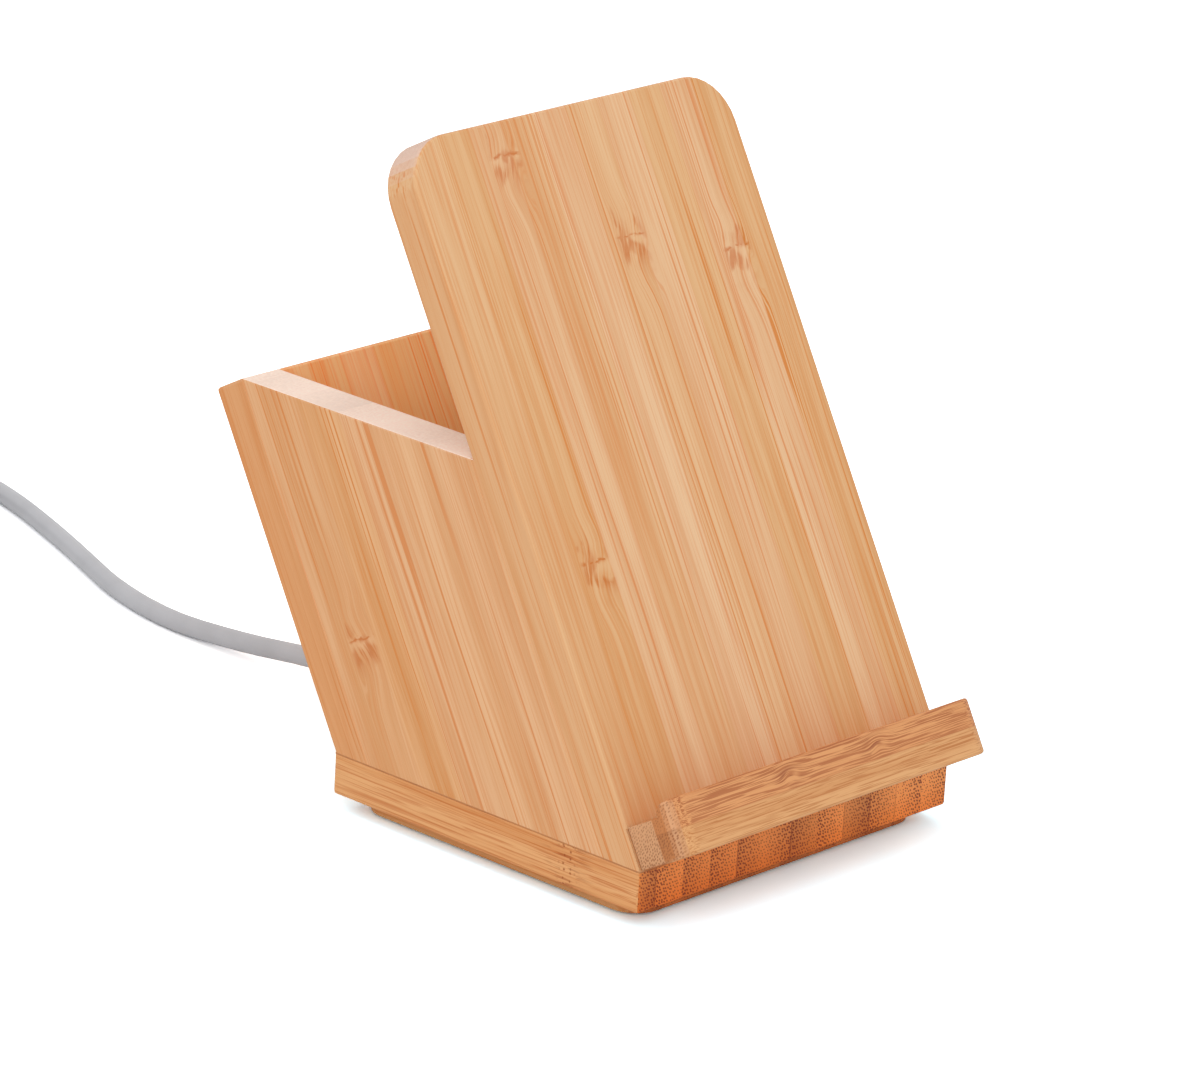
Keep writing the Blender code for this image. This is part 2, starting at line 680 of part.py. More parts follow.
def front_panel(bamboo, frame):
    """The tall charging board above the rail, with the coil's pocket milled into its back."""
    outline = panel_outline()
    panel = prism("front_panel", *[[(x, depth, height) for x, height in outline]
                                   for depth in (0, PANEL_THICKNESS)], bamboo, frame)
    ease_edges(panel, lambda middle, edge: middle.z > 0 and edge.calc_face_angle(0) > 1)
    trim_level(panel)
    score(panel, FRONT, (0, 0, RAIL_HEIGHT + JOINT_GAP), UP)
    over = PANEL_THICKNESS + OVERRUN
    rebate = prism("cover_rebate", *cover_loops(JOINT_GAP, REBATE_DEPTH, over), frame=frame)
    pocket = prism("coil_pocket", *[[(x, depth, height) for x, height in pocket_outline()]
                                    for depth in (PANEL_SKIN, over)], frame=frame)
    cut(panel, rebate, pocket, wall_dowel_holes("panel_dowel_holes", frame),
        rail_dowel_holes("panel_rail_dowel_holes", frame))
    return panel


def pocket_outline():
    """The round pocket and the channel below it, as (x, height)."""
    start = asin(CHANNEL_HALF / POCKET_RADIUS)
    angles = [start + (2 * pi - 2 * start) * k / SHIELD_STEPS for k in range(SHIELD_STEPS + 1)]
    points = [(POCKET_RADIUS * sin(a), COIL_HEIGHT - POCKET_RADIUS * cos(a)) for a in angles]
    return [*points, (-CHANNEL_HALF, -OVERRUN), (CHANNEL_HALF, -OVERRUN)]


def cover_loops(grow, front, back):
    """The two loops of the coil's cover, or of the rebate round it when it grows."""
    half = COVER_HALF + grow
    top = COVER_TOP + grow
    corner = COVER_CORNER + grow
    arc = [k / ARC_STEPS * pi / 2 for k in range(ARC_STEPS + 1)]
    right = [(half - corner + corner * cos(a), top - corner + corner * sin(a)) for a in arc]
    left = [(-x, height) for x, height in reversed(right)]

    def loop(depth):
        foot = level(depth) - (OVERRUN if grow else 0.0)
        return [(x, depth, height) for x, height in [(-half, foot), (half, foot), *right, *left]]

    return loop(front), loop(back)


def coil_cover(bamboo, frame):
    """The thin board that closes the coil in, flush with the panel's back."""
    prism("coil_cover", *cover_loops(0.0, COVER_FRONT, PANEL_THICKNESS), bamboo, frame)


def side_wall(name, side, bamboo, frame):
    """A wall between the panel and the rear wall, its top and bottom level."""
    front = PANEL_THICKNESS + JOINT_GAP
    rear = REAR_INNER - JOINT_GAP
    top = REAR_TOP - level(REAR_INNER)
    profile = [(depth, level(depth)) for depth in (front, rear)]
    profile += [(depth, top + level(depth)) for depth in (rear, front)]
    outer = [(side * HALF, depth, height) for depth, height in profile]
    inner = [(side * (HALF - SIDE_THICKNESS), depth, height) for depth, height in profile]
    wall = prism(name, outer, inner, bamboo, frame)

    def on_top(middle, edge):
        return middle.z - level(middle.y) > top - EASED_EDGE and front < middle.y < rear

    ease_edges(wall, on_top, EASED_EDGE / 2)
    cut(wall, wall_dowel_holes(name + "_dowel_holes", frame), base_dowel_holes(name + "_base_dowel_holes"))
    return wall


def rear_wall(bamboo, frame):
    """The board behind the side walls, its top square to its faces."""
    wall = box("rear_wall", (-HALF, REAR_INNER, 0), (HALF, BODY_DEPTH, REAR_TOP), bamboo, frame)

    def free(middle, edge):
        outside = middle.y > BODY_DEPTH - EASED_EDGE and middle.z > EASED_EDGE
        return outside or middle.z > REAR_TOP - EASED_EDGE

    ease_edges(wall, free)
    trim_level(wall)
    cut(wall, wall_dowel_holes("rear_dowel_holes", frame))
    return wall


def phone_rail(bamboo, frame):
    """The rail on the panel's foot: a round-cornered block with a slot cut behind a lip."""
    arc = [k / ARC_STEPS * pi / 2 for k in range(ARC_STEPS + 1)]
    corner = RAIL_CORNER
    right = [(HALF - corner + corner * sin(a), -RAIL_REACH + corner - corner * cos(a)) for a in arc]
    left = [(-x, depth) for x, depth in reversed(right)]
    plan = [*right, (HALF, -JOINT_GAP), (-HALF, -JOINT_GAP), *left]
    rail = prism("phone_rail", [(x, depth, 0) for x, depth in plan],
                 [(x, depth, RAIL_HEIGHT) for x, depth in plan], bamboo, frame)
    ease_edges(rail, lambda middle, edge: middle.y < -JOINT_GAP and edge.calc_face_angle(0) > 1)
    lip_arc = []
    for angle in arc:
        depth = -SLOT_DEPTH - LIP_ROUND + LIP_ROUND * cos(angle)
        lip_arc.append((depth, RAIL_HEIGHT - LIP_ROUND + LIP_ROUND * sin(angle)))
    over = RAIL_HEIGHT + OVERRUN
    profile = [(OVERRUN, SHELF_THICKNESS), (-SLOT_DEPTH, SHELF_THICKNESS), *lip_arc, (lip_arc[-1][0], over),
               (OVERRUN, over)]
    side = HALF + OVERRUN
    slot = prism("phone_slot", *[[(x, depth, height) for depth, height in profile] for x in (-side, side)],
                 frame=frame)
    cut(rail, slot, rail_dowel_holes("rail_dowel_holes", frame))
    return rail


def coil_path():
    """The wire from one lead up the channel, round the spiral, behind it and down again."""
    half = LEAD_SPACING / 2
    points = []
    outer = COIL_OUTER_RADIUS
    arc_steps = COIL_POINTS_PER_TURN // 4
    foot = COIL_HEIGHT - outer
    points.append(Vector((-half, CROSSING_DEPTH, foot - LEAD_BEND - LEAD_DIVE)))
    for k in range(1, arc_steps):
        share = k / arc_steps
        depth = CROSSING_DEPTH + (COIL_DEPTH - CROSSING_DEPTH) * (1 - cos(pi * share)) / 2
        points.append(Vector((-half, depth, foot - LEAD_BEND - LEAD_DIVE * (1 - share))))
    for k in range(arc_steps):
        angle = k / arc_steps * pi / 2
        x = -half - LEAD_BEND * (1 - cos(angle))
        points.append(Vector((x, COIL_DEPTH, foot - LEAD_BEND * (1 - sin(angle)))))
    bend_turn = (half + LEAD_BEND) / (2 * pi * outer)
    steps = ceil(COIL_TURNS * COIL_POINTS_PER_TURN)
    for k in range(steps + 1):
        turn = bend_turn + (COIL_TURNS - bend_turn) * k / steps
        radius = outer - COIL_PITCH * (turn - bend_turn)
        angle = -pi / 2 - 2 * pi * turn
        points.append(Vector((radius * cos(angle), COIL_DEPTH, COIL_HEIGHT + radius * sin(angle))))
    inner = -points[-1].x
    bend = (inner + half) / 2
    for k in range(1, 2 * arc_steps + 1):
        share = k / (2 * arc_steps)
        depth = COIL_DEPTH + (CROSSING_DEPTH - COIL_DEPTH) * (1 - cos(pi * share)) / 2
        x = -inner + bend - bend * cos(pi * share)
        points.append(Vector((x, depth, COIL_HEIGHT + bend * sin(pi * share))))
    points.append(Vector((half, CROSSING_DEPTH, foot - LEAD_BEND - LEAD_DIVE)))
    return points


def lead_end(x):
    """World points of one coil lead from the panel's foot to its terminal, ending square to it."""
    down = Vector((0, -sin(LEAN), -cos(LEAN)))
    turn = pi / 2 + LEAN
    low = leaning(x, CROSSING_DEPTH, level(CROSSING_DEPTH))
    drop = LEAD_BEND * (1 - cos(turn))
    start = low + down * ((low.z - WIRE_RUN_HEIGHT - drop) / cos(LEAN))
    centre_y = start.y + LEAD_BEND * sin(turn)
    points = [start]
    steps = 8
    for k in range(1, steps + 1):
        angle = turn * (1 - k / steps)
        points.append(Vector((x, centre_y - LEAD_BEND * sin(angle),
                              WIRE_RUN_HEIGHT + LEAD_BEND * (1 - cos(angle)))))
    points.append(Vector((x, terminal_front() - JOINT_GAP, WIRE_RUN_HEIGHT)))
    return points


def wire_hole_ends():
    """Front and rear of the hole that takes the leads down through the slab."""
    ys = [point.y for point in lead_end(0)[:-1]]
    return min(ys) - WIRE_RADIUS - JOINT_GAP, max(ys) + JOINT_GAP


def terminal_front():
    return BOARD_REAR - BOARD_LENGTH + TERMINAL_FROM_FRONT


def charging_coil(copper):
    """One unbroken wire: terminal, channel, flat spiral, and back behind the turns to the other terminal."""
    half = LEAD_SPACING / 2
    spiral = [leaning(*point) for point in coil_path()]
    points = [*reversed(lead_end(-half)), *spiral, *lead_end(half)]
    print("charging coil: least gap to itself %.2f mm, wire %.2f m"
          % (1000 * least_gap(points, WIRE_RADIUS, 6 * WIRE_RADIUS), length_of(points)))
    tube("charging_coil", points, WIRE_RADIUS, 1, copper)


def ferrite_shield(ferrite, frame):
    """The ring of ferrite behind the coil, slit below so that the inner lead comes out."""
    half = WIRE_RADIUS + JOINT_GAP
    outline = []
    for radius, ways in ((COIL_OUTER_RADIUS + SHIELD_RIM, 1), (COIL_INNER_RADIUS + SHIELD_INNER_RIM, -1)):
        start = asin((LEAD_SPACING / 2 + half) / radius)
        end = 2 * pi + asin((LEAD_SPACING / 2 - half) / radius)
        angles = [start + (end - start) * k / SHIELD_STEPS for k in range(SHIELD_STEPS + 1)]
        outline += [(radius * sin(a), COIL_HEIGHT - radius * cos(a)) for a in angles[::ways]]
    depths = (SHIELD_FRONT, SHIELD_FRONT + SHIELD_THICKNESS)
    faces = [[(x, depth, height) for x, height in outline] for depth in depths]
    prism("ferrite_shield", *faces, ferrite, frame)


def circuit_board(laminate):
    """The board that turns 5 V into the coil's current, flush with the slab's underside."""
    outline = rounded_outline(BOARD_WIDTH / 2, BOARD_LENGTH / 2, BOARD_CORNER, 3)
    board = prism("circuit_board", [(x, BOARD_CENTRE + y, BOARD_BOTTOM) for x, y in outline],
                  [(x, BOARD_CENTRE + y, BOARD_BOTTOM + BOARD_THICKNESS) for x, y in outline], laminate)
    holes = rods("board_holes", [(x, y, BOARD_BOTTOM - OVERRUN) for x, y in board_screw_places()], UP,
                 BOARD_SCREW_RADIUS + JOINT_GAP, BOARD_THICKNESS + 2 * OVERRUN, sides=12)
    cut(board, holes)


def board_screw_places():
    x = (BOARD_WIDTH - SIDE_LEDGE) / 2
    return [(side * x, BOARD_CENTRE) for side in (-1, 1)]


def board_screw_tip():
    return BOARD_BOTTOM - JOINT_GAP + BOARD_SCREW_LENGTH


def board_screws(steel):
    """Two pan-head screws up through the board into the slab, their heads let into the foot plate."""
    head = BOARD_SCREW_HEAD_HEIGHT
    profile = [(0, -head), (BOARD_SCREW_HEAD_RADIUS, -head), (BOARD_SCREW_HEAD_RADIUS, 0),
               (BOARD_SCREW_RADIUS, 0), (BOARD_SCREW_RADIUS, BOARD_SCREW_LENGTH - BOARD_SCREW_RADIUS),
               (0, BOARD_SCREW_LENGTH)]
    bm = bmesh.new()
    add_turned(bm, profile, (0, 0, 0), UP, 12)
    places = [(x, y, BOARD_BOTTOM - JOINT_GAP) for x, y in board_screw_places()]
    copies("board_screw", bm, places, steel)


def add_loft(bm, loops):
    """Adds a solid through loops with the same number of points, its two ends closed."""
    verts = [[bm.verts.new(point) for point in loop] for loop in loops]
    bm.faces.new(verts[0])
    bm.faces.new(verts[-1])
    for lower, upper in zip(verts, verts[1:]):
        for i in range(len(lower)):
            j = (i + 1) % len(lower)
            bm.faces.new((lower[i], lower[j], upper[j], upper[i]))


def board_part(name, size, places, material):
    """A component that stands on the board at each place, its corners and top edges chamfered."""
    half_x, half_y, height = size[0] / 2, size[1] / 2, size[2]
    inset = PART_CHAMFER / 2
    low = rounded_outline(half_x, half_y, PART_CHAMFER, 2)
    high = rounded_outline(half_x - inset, half_y - inset, inset, 2)
    rings = [(low, 0), (low, height - inset), (high, height)]
    bm = bmesh.new()
    add_loft(bm, [[(x, y, z) for x, y in outline] for outline, z in rings])
    places = [(x, y, PARTS_BOTTOM) for x, y in places]
    if len(places) > 1:
        copies(name, bm, places, material)
    else:
        object_from(name, bm, material).location = places[0]


def electronics(plastic, ceramic, ferrite, steel):
    """What the board carries: on the left the inductor and two bridge drivers, on the right the
    controller and four tuning capacitors, and in front the terminals of the coil's two leads."""
    reach = CAVITY_HALF - PART_SPACING
    rear = SOCKET_FRONT - PART_SPACING
    width, length = INDUCTOR_SIZE[:2]
    board_part("power_inductor", INDUCTOR_SIZE, [(width / 2 - reach, rear - length / 2)], ferrite)
    x = DRIVER_SIZE[0] / 2 - reach
    y = rear - length - PART_SPACING - DRIVER_SIZE[1] / 2
    board_part("driver_chip", DRIVER_SIZE, [(x, y), (x + DRIVER_SIZE[0] + PART_SPACING, y)], plastic)
    width, length = CHIP_SIZE[:2]
    board_part("control_chip", CHIP_SIZE, [(reach - width / 2, rear - length / 2)], plastic)
    x = reach - CAPACITOR_SIZE[0] / 2
    y = rear - length - PART_SPACING - CAPACITOR_SIZE[1] / 2
    step_x = CAPACITOR_SIZE[0] + CAPACITOR_SPACING
    step_y = CAPACITOR_SIZE[1] + CAPACITOR_SPACING
    grid = [(x - a * step_x, y - b * step_y) for b in (0, 1) for a in (0, 1)]
    board_part("resonant_capacitor", CAPACITOR_SIZE, grid, ceramic)
    y = terminal_front() + TERMINAL_SIZE[1] / 2
    board_part("coil_terminal", TERMINAL_SIZE, [(side * LEAD_SPACING / 2, y) for side in (-1, 1)], steel)


def oval(width, height, y, middle):
    """Points round a slot shape with almost round ends, in the plane Y = y."""
    outline = rounded_outline(width / 2, height / 2, ROUND_SHARE * height / 2, 6)
    return [(x, y, middle + z) for x, z in outline]


def usb_socket(steel, plastic):
    """The socket in the slab's rear edge: a steel shell and the core with its tongue."""
    front = SOCKET_FRONT
    outer = [oval(SOCKET_WIDTH, SOCKET_HEIGHT, y, SOCKET_MIDDLE) for y in (front, SOCKET_MOUTH)]
    shell = prism("usb_socket_shell", *outer, steel)
    inner_width = SOCKET_WIDTH - 2 * SOCKET_WALL_METAL
    inner_height = SOCKET_HEIGHT - 2 * SOCKET_WALL_METAL
    bore_ends = (front - OVERRUN, SOCKET_MOUTH + OVERRUN)
    bore = prism("socket_bore", *[oval(inner_width, inner_height, y, SOCKET_MIDDLE) for y in bore_ends])
    cut(shell, bore)
    core_size = (inner_width - 2 * JOINT_GAP, inner_height - 2 * JOINT_GAP)
    block = [oval(*core_size, y, SOCKET_MIDDLE) for y in (front, front + SOCKET_BACK_WALL)]
    core = prism("usb_socket_core", *block, plastic)
    half = TONGUE_WIDTH / 2
    tongue = box("socket_tongue", (-half, front + SOCKET_BACK_WALL / 2, SOCKET_MIDDLE - TONGUE_THICKNESS / 2),
                 (half, front + SOCKET_BACK_WALL + TONGUE_LENGTH, SOCKET_MIDDLE + TONGUE_THICKNESS / 2))
    combine(core, tongue, "UNION")


def ribbed_relief(start, width, height):
    """Sections of the strain relief behind a plug, as (distance, half width, half height), with grooves."""
    sections = []
    for rib in range(RELIEF_RIBS):
        for share, in_groove in RIB_SHARES:
            t = (rib + share) / RELIEF_RIBS
            drop = RELIEF_GROOVE if in_groove else 0.0
            half_width = width / 2 + (RELIEF_RADIUS - width / 2) * t - drop
            half_height = height / 2 + (RELIEF_RADIUS - height / 2) * t - drop
            sections.append((start + RELIEF_LENGTH * t, half_width, half_height))
    sections.append((start + RELIEF_LENGTH, RELIEF_RADIUS, RELIEF_RADIUS))
    return sections


def plug_mould(name, width, height, length, place, heading, material):
    """A moulded plug body and its ribbed relief, from its front face at a place along the heading."""
    edge = height * PLUG_EDGE_SHARE
    neck_width = width * PLUG_NECK_SHARES[0]
    neck_height = height * PLUG_NECK_SHARES[1]
    sections = [
        (0, width / 2 - edge, height / 2 - edge),
        (edge, width / 2, height / 2),
        (length * PLUG_SHOULDER_SHARE, width / 2, height / 2),
        (length - edge, neck_width / 2 + edge, neck_height / 2 + edge / 2),
        *ribbed_relief(length, neck_width, neck_height),
    ]
    heading = Vector(heading).normalized()
    up = Vector(UP)
    across = heading.cross(up)
    place = Vector(place)
    loops = []
    for along, half_width, half_height in sections:
        corner = height * PLUG_CORNER_SHARE
        if along > length - edge:
            corner = half_height
        outline = rounded_outline(half_width, half_height, min(corner, ROUND_SHARE * half_height), 4)
        loops.append([place + heading * along + across * a + up * b for a, b in outline])
    bm = bmesh.new()
    add_loft(bm, loops)
    return object_from(name, bm, material)


def usb_c_plug(steel, white):
    """The lead's plug, pushed home into the socket."""
    tip = PLUG_FRONT - JOINT_GAP - PLUG_SHELL_LENGTH
    ends = (tip, PLUG_FRONT - JOINT_GAP)
    outer = [oval(PLUG_SHELL_WIDTH, PLUG_SHELL_HEIGHT, y, SOCKET_MIDDLE) for y in ends]
    shell = prism("plug_shell", *outer, steel)
    inner = (PLUG_SHELL_WIDTH - 2 * PLUG_SHELL_WALL, PLUG_SHELL_HEIGHT - 2 * PLUG_SHELL_WALL)
    hollow = (tip - OVERRUN, PLUG_FRONT - JOINT_GAP - PLUG_SHELL_WALL)
    cut(shell, prism("plug_shell_bore", *[oval(*inner, y, SOCKET_MIDDLE) for y in hollow]))
    plug_mould("plug_body", PLUG_WIDTH, PLUG_HEIGHT, PLUG_LENGTH, (0, PLUG_FRONT, SOCKET_MIDDLE), BACK, white)


def hank_path():
    """The coil of spare lead: it spirals in on the floor, climbs, and spirals out on top."""
    centre_x, centre_y = HANK_CENTRE
    per_layer = HANK_LOOPS / 2
    inner = HANK_MEAN_RADIUS - HANK_PITCH * per_layer / 2
    steps = HANK_LOOPS * HANK_POINTS_PER_LOOP
    quarter = 0.25
    points = []
    for k in range(steps + 1):
        turn = k / HANK_POINTS_PER_LOOP
        away = abs(turn - per_layer)
        radius = inner + HANK_PITCH * away
        climb = min(1.0, max(0.0, (turn - per_layer + quarter) / (2 * quarter)))
        z = LEAD_ROUTE[-1][2] + HANK_PITCH * (1 - cos(pi * climb)) / 2
        angle = HANK_START + 2 * pi * turn
        points.append(Vector((centre_x + radius * cos(angle), centre_y + radius * sin(angle), z)))
    heading = Vector((-sin(HANK_START), cos(HANK_START), 0))
    start = points[0] - heading * STRAIGHT_END
    end = points[-1] + heading * STRAIGHT_END
    return [start, *points, end], heading


def a_plug_frame():
    """Where the lead meets the USB-A plug, and its heading there."""
    last = Vector(TAIL_ROUTE[-1])
    heading = last - Vector(TAIL_ROUTE[-2])
    heading.z = 0
    return last, heading.normalized()


def lead(white):
    """The free stretch from the plug, the coil of spare lead, and the short stretch to the far plug."""
    exit_y = PLUG_FRONT + PLUG_LENGTH + RELIEF_LENGTH + JOINT_GAP
    hank, heading = hank_path()
    hank_start = hank[0] - heading * JOINT_GAP
    hank_end = hank[-1] + heading * JOINT_GAP
    route = [(0, exit_y, SOCKET_MIDDLE), (0, exit_y + STRAIGHT_END, SOCKET_MIDDLE), *LEAD_ROUTE,
             hank_start - heading * STRAIGHT_END, hank_start]
    stretch = smooth_curve(route, LEAD_SMOOTH_STEP)
    last, last_heading = a_plug_frame()
    tail_route = [hank_end, hank_end + heading * STRAIGHT_END, *TAIL_ROUTE[:-1], last]
    tail = smooth_curve(tail_route, LEAD_SMOOTH_STEP)
    tube("usb_lead", stretch, LEAD_RADIUS, 2, white)
    tube("usb_lead_coil", hank, LEAD_RADIUS, 1, white)
    tube("usb_lead_tail", tail, LEAD_RADIUS, 2, white)
    total = length_of(stretch) + length_of(hank) + length_of(tail)
    print("usb lead: %.3f m, of which %.3f m in the coil, whose least gap to itself is %.2f mm"
          % (total, length_of(hank), 1000 * least_gap(hank, LEAD_RADIUS, 6 * LEAD_RADIUS)))


def usb_a_plug(steel, white, plastic):
    """The plug at the far end, lying on the floor beside the coil."""
    last, heading = a_plug_frame()
    mould_end = last + heading * JOINT_GAP
    front = mould_end + heading * (A_PLUG_LENGTH + RELIEF_LENGTH)
    front.z = A_PLUG_MIDDLE
    plug_mould("usb_a_body", A_PLUG_WIDTH, A_PLUG_HEIGHT, A_PLUG_LENGTH, front, -heading, white)
    turn = heading.to_track_quat("Y", "Z").to_euler()
    frame = bpy.data.objects.new("usb_a_frame", None)
    bpy.context.scene.collection.objects.link(frame)
    frame.location = front + heading * JOINT_GAP
    frame.rotation_euler = turn
    half_width, half_height = A_SHELL_WIDTH / 2, A_SHELL_HEIGHT / 2
    shell = box("usb_a_shell", (-half_width, 0, -half_height), (half_width, A_SHELL_LENGTH, half_height),
                steel, frame)
    wall = A_SHELL_WALL
    bore = box("usb_a_bore", (-half_width + wall, wall, -half_height + wall),
               (half_width - wall, A_SHELL_LENGTH + OVERRUN, half_height - wall), frame=frame)
    cut(shell, bore)
    window = A_WINDOW / 2
    y = A_SHELL_LENGTH - A_WINDOW_FROM_END
    for side in (-1, 1):
        x = side * A_WINDOW_SPACING / 2
        name = "usb_a_window_right" if side > 0 else "usb_a_window_left"
        cut(shell, box(name, (x - window, y - window, -half_height - OVERRUN),
                       (x + window, y + window, half_height + OVERRUN), frame=frame))
    low = -half_height + wall + JOINT_GAP
    half_tongue = half_width - wall - JOINT_GAP
    box("usb_a_tongue", (-half_tongue, wall + JOINT_GAP, low),
        (half_tongue, A_SHELL_LENGTH - A_TONGUE_SET_BACK, low + A_TONGUE_THICKNESS), plastic, frame)


def head_recesses(plate):
    """Room in the foot plate for the heads of the board's screws."""
    depth = JOINT_GAP + BOARD_SCREW_HEAD_HEIGHT + JOINT_GAP
    low = BOARD_BOTTOM - depth
    tool = rods("board_screw_recesses", [(x, y, low) for x, y in board_screw_places()], UP,
                BOARD_SCREW_HEAD_RADIUS + JOINT_GAP, depth + OVERRUN, sides=12)
    cut(plate, tool)


def build():
    clear_scene()
    bamboo = finish("bamboo", (0.72, 0.42, 0.20), 0.5)
    beech = finish("beech", (0.62, 0.44, 0.27), 0.6)
    silicone = finish("silicone", (0.05, 0.05, 0.05), 0.7)
    steel = finish("steel", (0.62, 0.62, 0.64), 0.3, 1.0)
    copper = finish("copper", (0.72, 0.33, 0.17), 0.35, 1.0)
    ferrite = finish("ferrite", (0.09, 0.09, 0.10), 0.55)
    laminate = finish("laminate", (0.02, 0.16, 0.07), 0.45)
    plastic = finish("black_plastic", (0.02, 0.02, 0.02), 0.5)
    ceramic = finish("ceramic", (0.55, 0.42, 0.28), 0.5)
    white = finish("white_plastic", (0.82, 0.83, 0.84), 0.45)

    frame = lean_frame()
    base_slab(bamboo)
    head_recesses(foot_plate(bamboo))
    foot_screws(steel)
    anti_slip_pads(silicone)
    front_panel(bamboo, frame)
    coil_cover(bamboo, frame)
    side_wall("left_wall", -1, bamboo, frame)
    side_wall("right_wall", 1, bamboo, frame)
    rear_wall(bamboo, frame)
    phone_rail(bamboo, frame)
    base_dowels(beech)
    wall_dowels(beech, frame)
    rail_dowels(beech, frame)
    charging_coil(copper)
    ferrite_shield(ferrite, frame)
    circuit_board(laminate)
    board_screws(steel)
    electronics(plastic, ceramic, ferrite, steel)
    usb_socket(steel, plastic)
    usb_c_plug(steel, white)
    lead(white)
    usb_a_plug(steel, white, plastic)


build()
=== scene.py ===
from math import cos, pi, radians, sin, tan

import bmesh
import bpy
from mathutils import Matrix, Vector


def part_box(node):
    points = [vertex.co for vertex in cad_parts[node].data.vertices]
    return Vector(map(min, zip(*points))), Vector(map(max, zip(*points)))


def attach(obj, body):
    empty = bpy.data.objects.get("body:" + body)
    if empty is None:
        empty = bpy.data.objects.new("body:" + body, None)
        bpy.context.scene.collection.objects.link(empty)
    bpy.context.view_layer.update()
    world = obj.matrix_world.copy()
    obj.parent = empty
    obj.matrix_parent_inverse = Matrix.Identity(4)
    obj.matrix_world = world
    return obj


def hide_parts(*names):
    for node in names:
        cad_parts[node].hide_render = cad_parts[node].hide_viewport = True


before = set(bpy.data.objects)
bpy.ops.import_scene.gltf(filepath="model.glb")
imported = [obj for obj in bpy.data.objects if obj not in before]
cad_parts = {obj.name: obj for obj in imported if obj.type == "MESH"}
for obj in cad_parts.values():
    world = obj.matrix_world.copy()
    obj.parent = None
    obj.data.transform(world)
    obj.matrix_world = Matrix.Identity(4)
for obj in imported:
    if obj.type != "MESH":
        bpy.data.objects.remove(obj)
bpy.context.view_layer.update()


# Camera
# Stands a little over a metre from the stand, to its left and above it, and is rolled slightly.
# Its place and lens come from the stand's edges in the photograph.
lens = bpy.data.cameras.new("camera")
lens.sensor_width = 36.0
lens.lens = 214.455
lens.clip_start = 0.05
lens.clip_end = 20.0


def new_object(name, data):
    made = bpy.data.objects.new(name, data)
    bpy.context.scene.collection.objects.link(made)
    return made


camera = new_object("camera", lens)
to_right = Vector((0.67674345, -0.73396511, 0.05756319))
to_top = Vector((0.20363278, 0.26174656, 0.94341))
to_eye = Vector((-0.70749699, -0.62672479, 0.32659463))
eye = Vector((-0.82059, -0.72523, 0.42381))
turned = Matrix((to_right, to_top, to_eye)).transposed().to_4x4()
camera.matrix_world = Matrix.Translation(eye) @ turned
bpy.context.scene.camera = camera


# USB lead
# The light grey lead of 3.5 mm, two pairs of copper in a soft vinyl jacket, extruded in one length.
# It leaves the plug, curves over the desk, and the rest is wound into a flat coil of seven loops.
LEAD_DIAMETER = 0.0035
LEAD_START = (0.0, 0.050791, 0.0057)
LEAD_STRAIGHT = 0.0035
LEAD_STEP = 0.0042
COIL_CENTRE = (0.0, 0.197)
COIL_LOOPS = 7
COIL_PITCH = 0.004
COIL_MEAN_RADIUS = 0.0192
COIL_START = radians(-5.0)
COIL_CLIMB_TURNS = 0.5
POINTS_PER_TURN = 24
LEAD_ROUTE = (
    (0.0000, 0.0600, 0.00560), (0.0003, 0.0690, 0.00470), (0.0007, 0.0780, 0.00340),
    (0.0010, 0.0880, 0.00235), (0.0010, 0.0980, 0.00183), (0.0022, 0.1080, 0.00178),
    (0.0052, 0.1190, 0.00178), (0.0093, 0.1290, 0.00178), (0.0135, 0.1390, 0.00178),
    (0.0178, 0.1500, 0.00178), (0.0217, 0.1610, 0.00178), (0.0246, 0.1720, 0.00178),
    (0.0256, 0.1820, 0.00178))
TAIL_ROUTE = (
    (0.0266, 0.2040, 0.00560), (0.0261, 0.2110, 0.00510), (0.0240, 0.2180, 0.00440),
    (0.0200, 0.2245, 0.00390), (0.0144, 0.2293, 0.00383), (0.0075, 0.2320, 0.00383),
    (0.0010, 0.2327, 0.00383))


def smooth_run(points, step):
    """Points at about even steps along a smooth curve through the points given."""
    points = [Vector(p) for p in points]
    padded = [2 * points[0] - points[1], *points, 2 * points[-1] - points[-2]]
    run = []
    for before, start, end, after in zip(padded, padded[1:], padded[2:], padded[3:]):
        count = max(1, round((end - start).length / step))
        for k in range(count):
            t = k / count
            run.append(0.5 * (2 * start + (end - before) * t
                              + (2 * before - 5 * start + 4 * end - after) * t * t
                              + (3 * start - before - 3 * end + after) * t * t * t))
    return [*run, points[-1]]


def coil_run():
    """The wound length: in on the floor, up, and out again on top, with a straight bit at each end."""
    per_layer = COIL_LOOPS / 2
    inner = COIL_MEAN_RADIUS - COIL_PITCH * per_layer / 2
    points = []
    for k in range(COIL_LOOPS * POINTS_PER_TURN + 1):
        turn = k / POINTS_PER_TURN
        radius = inner + COIL_PITCH * abs(turn - per_layer)
        climb = min(1.0, max(0.0, (turn - per_layer + COIL_CLIMB_TURNS / 2) / COIL_CLIMB_TURNS))
        z = LEAD_ROUTE[-1][2] + COIL_PITCH * (1 - cos(pi * climb)) / 2
        angle = COIL_START + 2 * pi * turn
        x, y = COIL_CENTRE[0] + radius * cos(angle), COIL_CENTRE[1] + radius * sin(angle)
        points.append(Vector((x, y, z)))
    heading = Vector((-sin(COIL_START), cos(COIL_START), 0))
    return [points[0] - heading * LEAD_STRAIGHT, *points, points[-1] + heading * LEAD_STRAIGHT], heading


